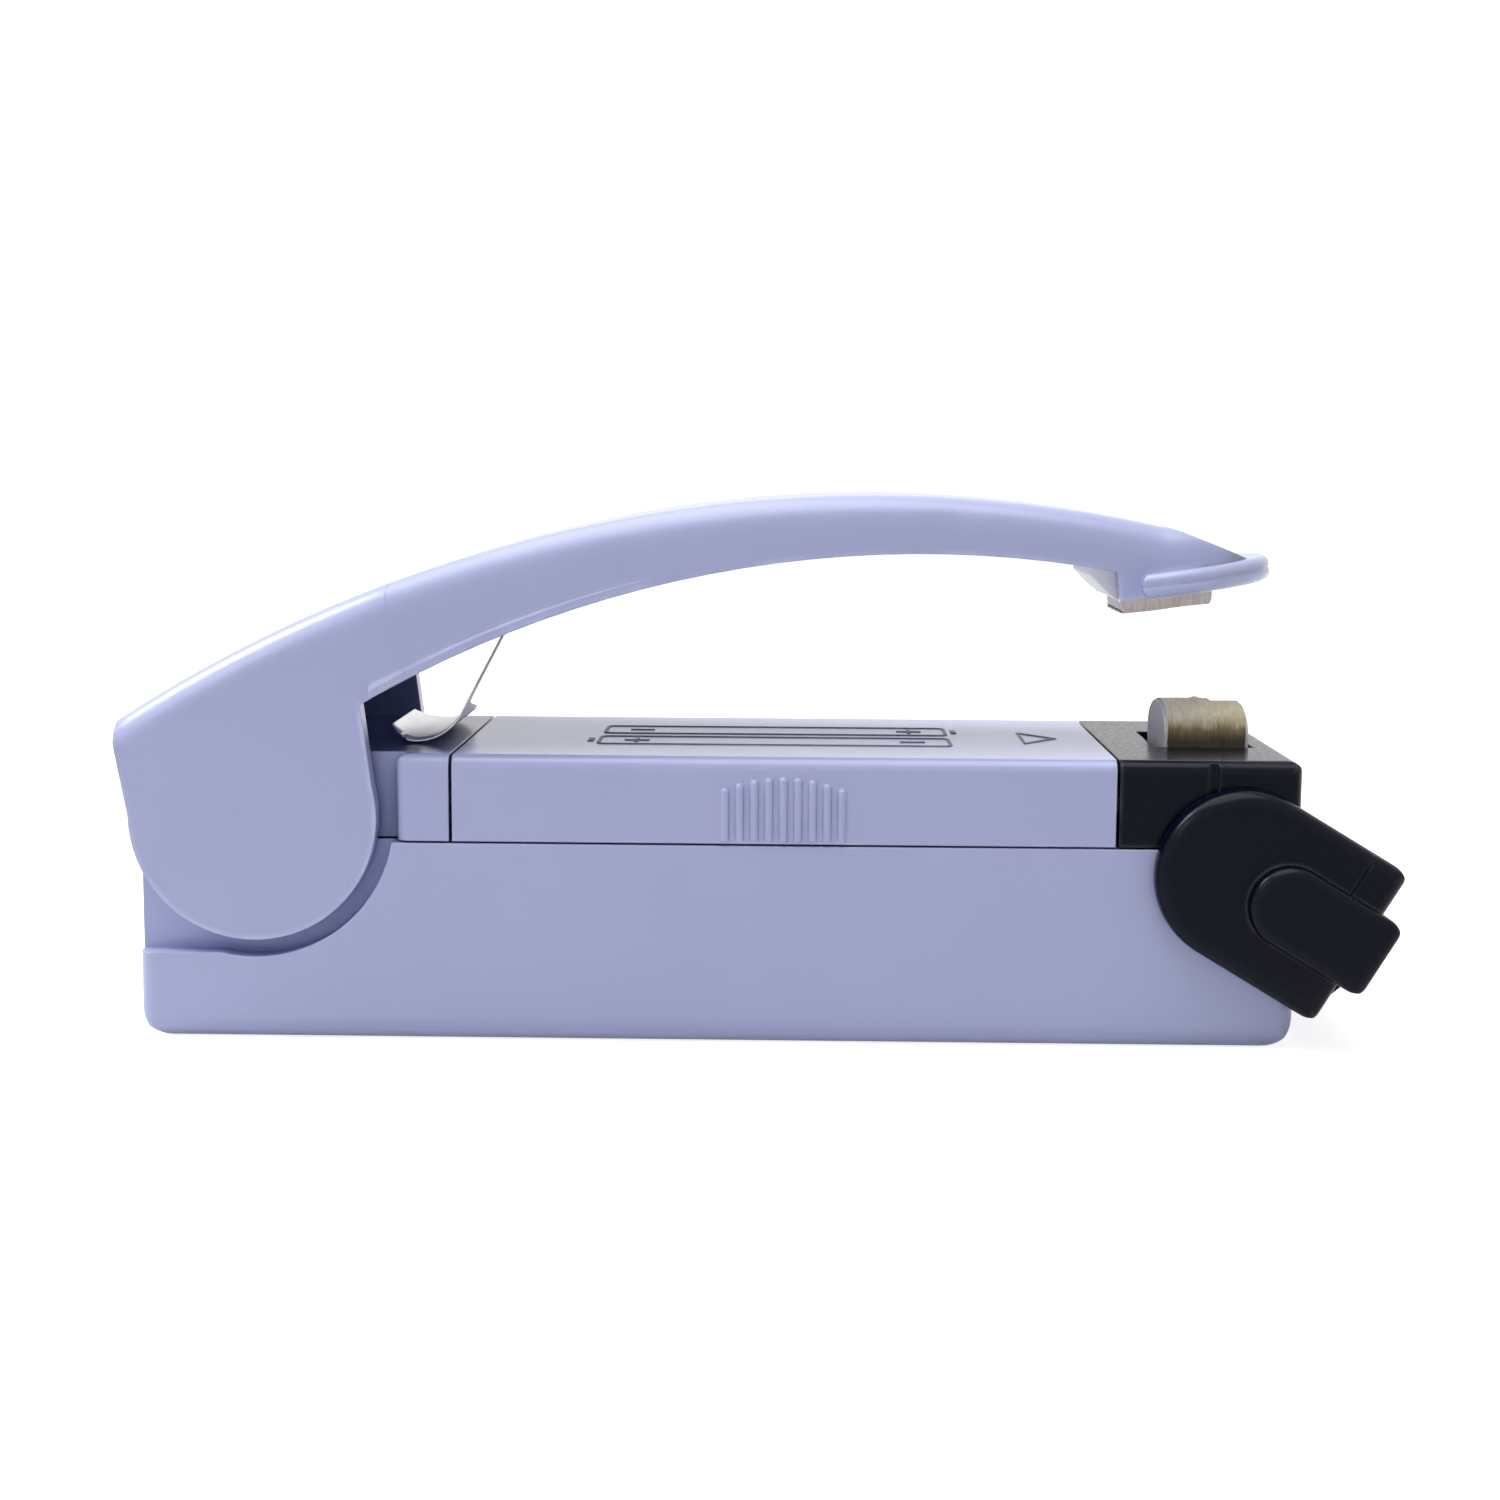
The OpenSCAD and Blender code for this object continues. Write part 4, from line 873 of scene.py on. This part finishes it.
strip = leaf_line()
leaf_form = thin_sheet(strip_grid(strip, LEAF_T / 2), strip_grid(strip, -LEAF_T / 2))
leaf = as_piece("lift_spring", leaf_form, spring_steel)
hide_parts("leaf_spring")
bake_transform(leaf)
print("leaf spring:", len(strip), "rows, stem up to", round(max(row[1] for row in strip), 1), "mm")

# %% [markdown]
# A coil under the heater pushes it back up. It is drawn wire with two closed, ground ends. A
# curve with a round bevel would draw it too, but here it is a mesh of rings.

# %% Return spring
COIL_R, WIRE_R, COIL_LOW, COIL_HIGH, TURNS = 3.6, 0.4, 12.42, 21.83, 5.5
COIL_STEPS, END_CLIMB, END_SHARE = 176, 0.06, 0.09


def coil_ring(i, sides=12):
    """One ring of the wire, i steps along the coil, which climbs little in its closed ends."""
    share = i / COIL_STEPS
    climb = END_CLIMB * share + (1 - END_CLIMB) * ease(share, END_SHARE, 1 - END_SHARE)
    a = 2 * math.pi * TURNS * share
    middle = Vector((HEATER_X + COIL_R * math.cos(a), COIL_R * math.sin(a),
                     COIL_LOW + (COIL_HIGH - COIL_LOW) * climb))
    out = Vector((math.cos(a), math.sin(a), 0))
    return [middle + WIRE_R * (out * math.cos(b) + Vector((0, 0, math.sin(b))))
            for b in (2 * math.pi * k / sides for k in range(sides))]


coil_rings = [coil_ring(i) for i in range(COIL_STEPS + 1)]
coil = as_piece("return_coil", loft(coil_rings), spring_steel)
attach(coil, "base")
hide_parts("heater_spring")
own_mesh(coil)
print("coil:", TURNS, "turns")

# %% [markdown]
# The cover carries the usual marks of a battery lid: two cells drawn in outline with their poles,
# and an open arrow. On the real cover they are low lines from the tool. Fine raised frames keep
# them real from every side, where a painted mask would vanish at a low angle.

# %% Marks on the cover
MARK_Z, MARK_H, MARK_SUNK = 26.6, 0.09, 0.05
CELL_REAR, CELL_FRONT, CELL_Y, CELL_HALF, CELL_ROUND = -11.5, 22.0, 4.3, 3.0, 0.8
CELL_MIDDLE, POLE_AT, SIGN_AT = (CELL_REAR + CELL_FRONT) / 2, 17.6, 13.2
FRAME_LINE, SIGN_LINE, POLE_LINE = 0.4, 0.45, 0.7
POLE_HALF, SIGN_HALF, PLUS_GAP, PLUS_END = 1.1, 1.2, 0.35, 1.3
ARROW = [(29.2, -4.6), (32.4, -0.4), (29.2, 3.8)]


def raised_line(form, points, width, closed=False):
    """Adds a low line with mitred corners along points in millimetres on the cover's top."""
    count = len(points)
    profile = ((-1, -MARK_SUNK), (-0.7, MARK_H), (0.7, MARK_H), (1, -MARK_SUNK))
    rings = []
    for k in range(count):
        here = Vector(points[k])
        ways = []
        if closed or k:
            ways.append((here - Vector(points[k - 1])).normalized())
        if closed or k < count - 1:
            ways.append((Vector(points[(k + 1) % count]) - here).normalized())
        way = sum(ways, Vector((0, 0))).normalized()
        side = Vector((-way.y, way.x)) * width / 2 / max(0.5, way.dot(ways[0]))
        rings.append([form.verts.new(Vector((*(here + side * s), MARK_Z + h)) * MM)
                      for s, h in profile])
    pairs = list(zip(rings, rings[1:])) + ([(rings[-1], rings[0])] if closed else [])
    for near, far in pairs:
        for q in range(len(profile)):
            form.faces.new((near[q - 1], near[q], far[q], far[q - 1]))
    if not closed:
        form.faces.new(rings[0])
        form.faces.new(rings[-1])


marks = bmesh.new()
for y, way in ((CELL_Y, 1), (-CELL_Y, -1)):
    low, high = y - CELL_HALF, y + CELL_HALF
    can = [(CELL_REAR, low), (CELL_FRONT, low), (CELL_FRONT, high), (CELL_REAR, high)]
    raised_line(marks, soft_corners(can, CELL_ROUND), FRAME_LINE, closed=True)
    pole = CELL_MIDDLE + way * POLE_AT
    raised_line(marks, [(pole, y - POLE_HALF), (pole, y + POLE_HALF)], POLE_LINE)
    plus, minus = CELL_MIDDLE + way * SIGN_AT, CELL_MIDDLE - way * SIGN_AT
    raised_line(marks, [(plus - SIGN_HALF, y), (plus + SIGN_HALF, y)], SIGN_LINE)
    raised_line(marks, [(plus, y + PLUS_GAP), (plus, y + PLUS_END)], SIGN_LINE)
    raised_line(marks, [(plus, y - PLUS_END), (plus, y - PLUS_GAP)], SIGN_LINE)
    raised_line(marks, [(minus - SIGN_HALF, y), (minus + SIGN_HALF, y)], SIGN_LINE)
raised_line(marks, ARROW, SIGN_LINE, closed=True)
cover_marks = as_piece("cover_marks", marks, mark_grey)
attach(cover_marks, "cover")
print("cover marks:", len(cover_marks.data.polygons), "faces")
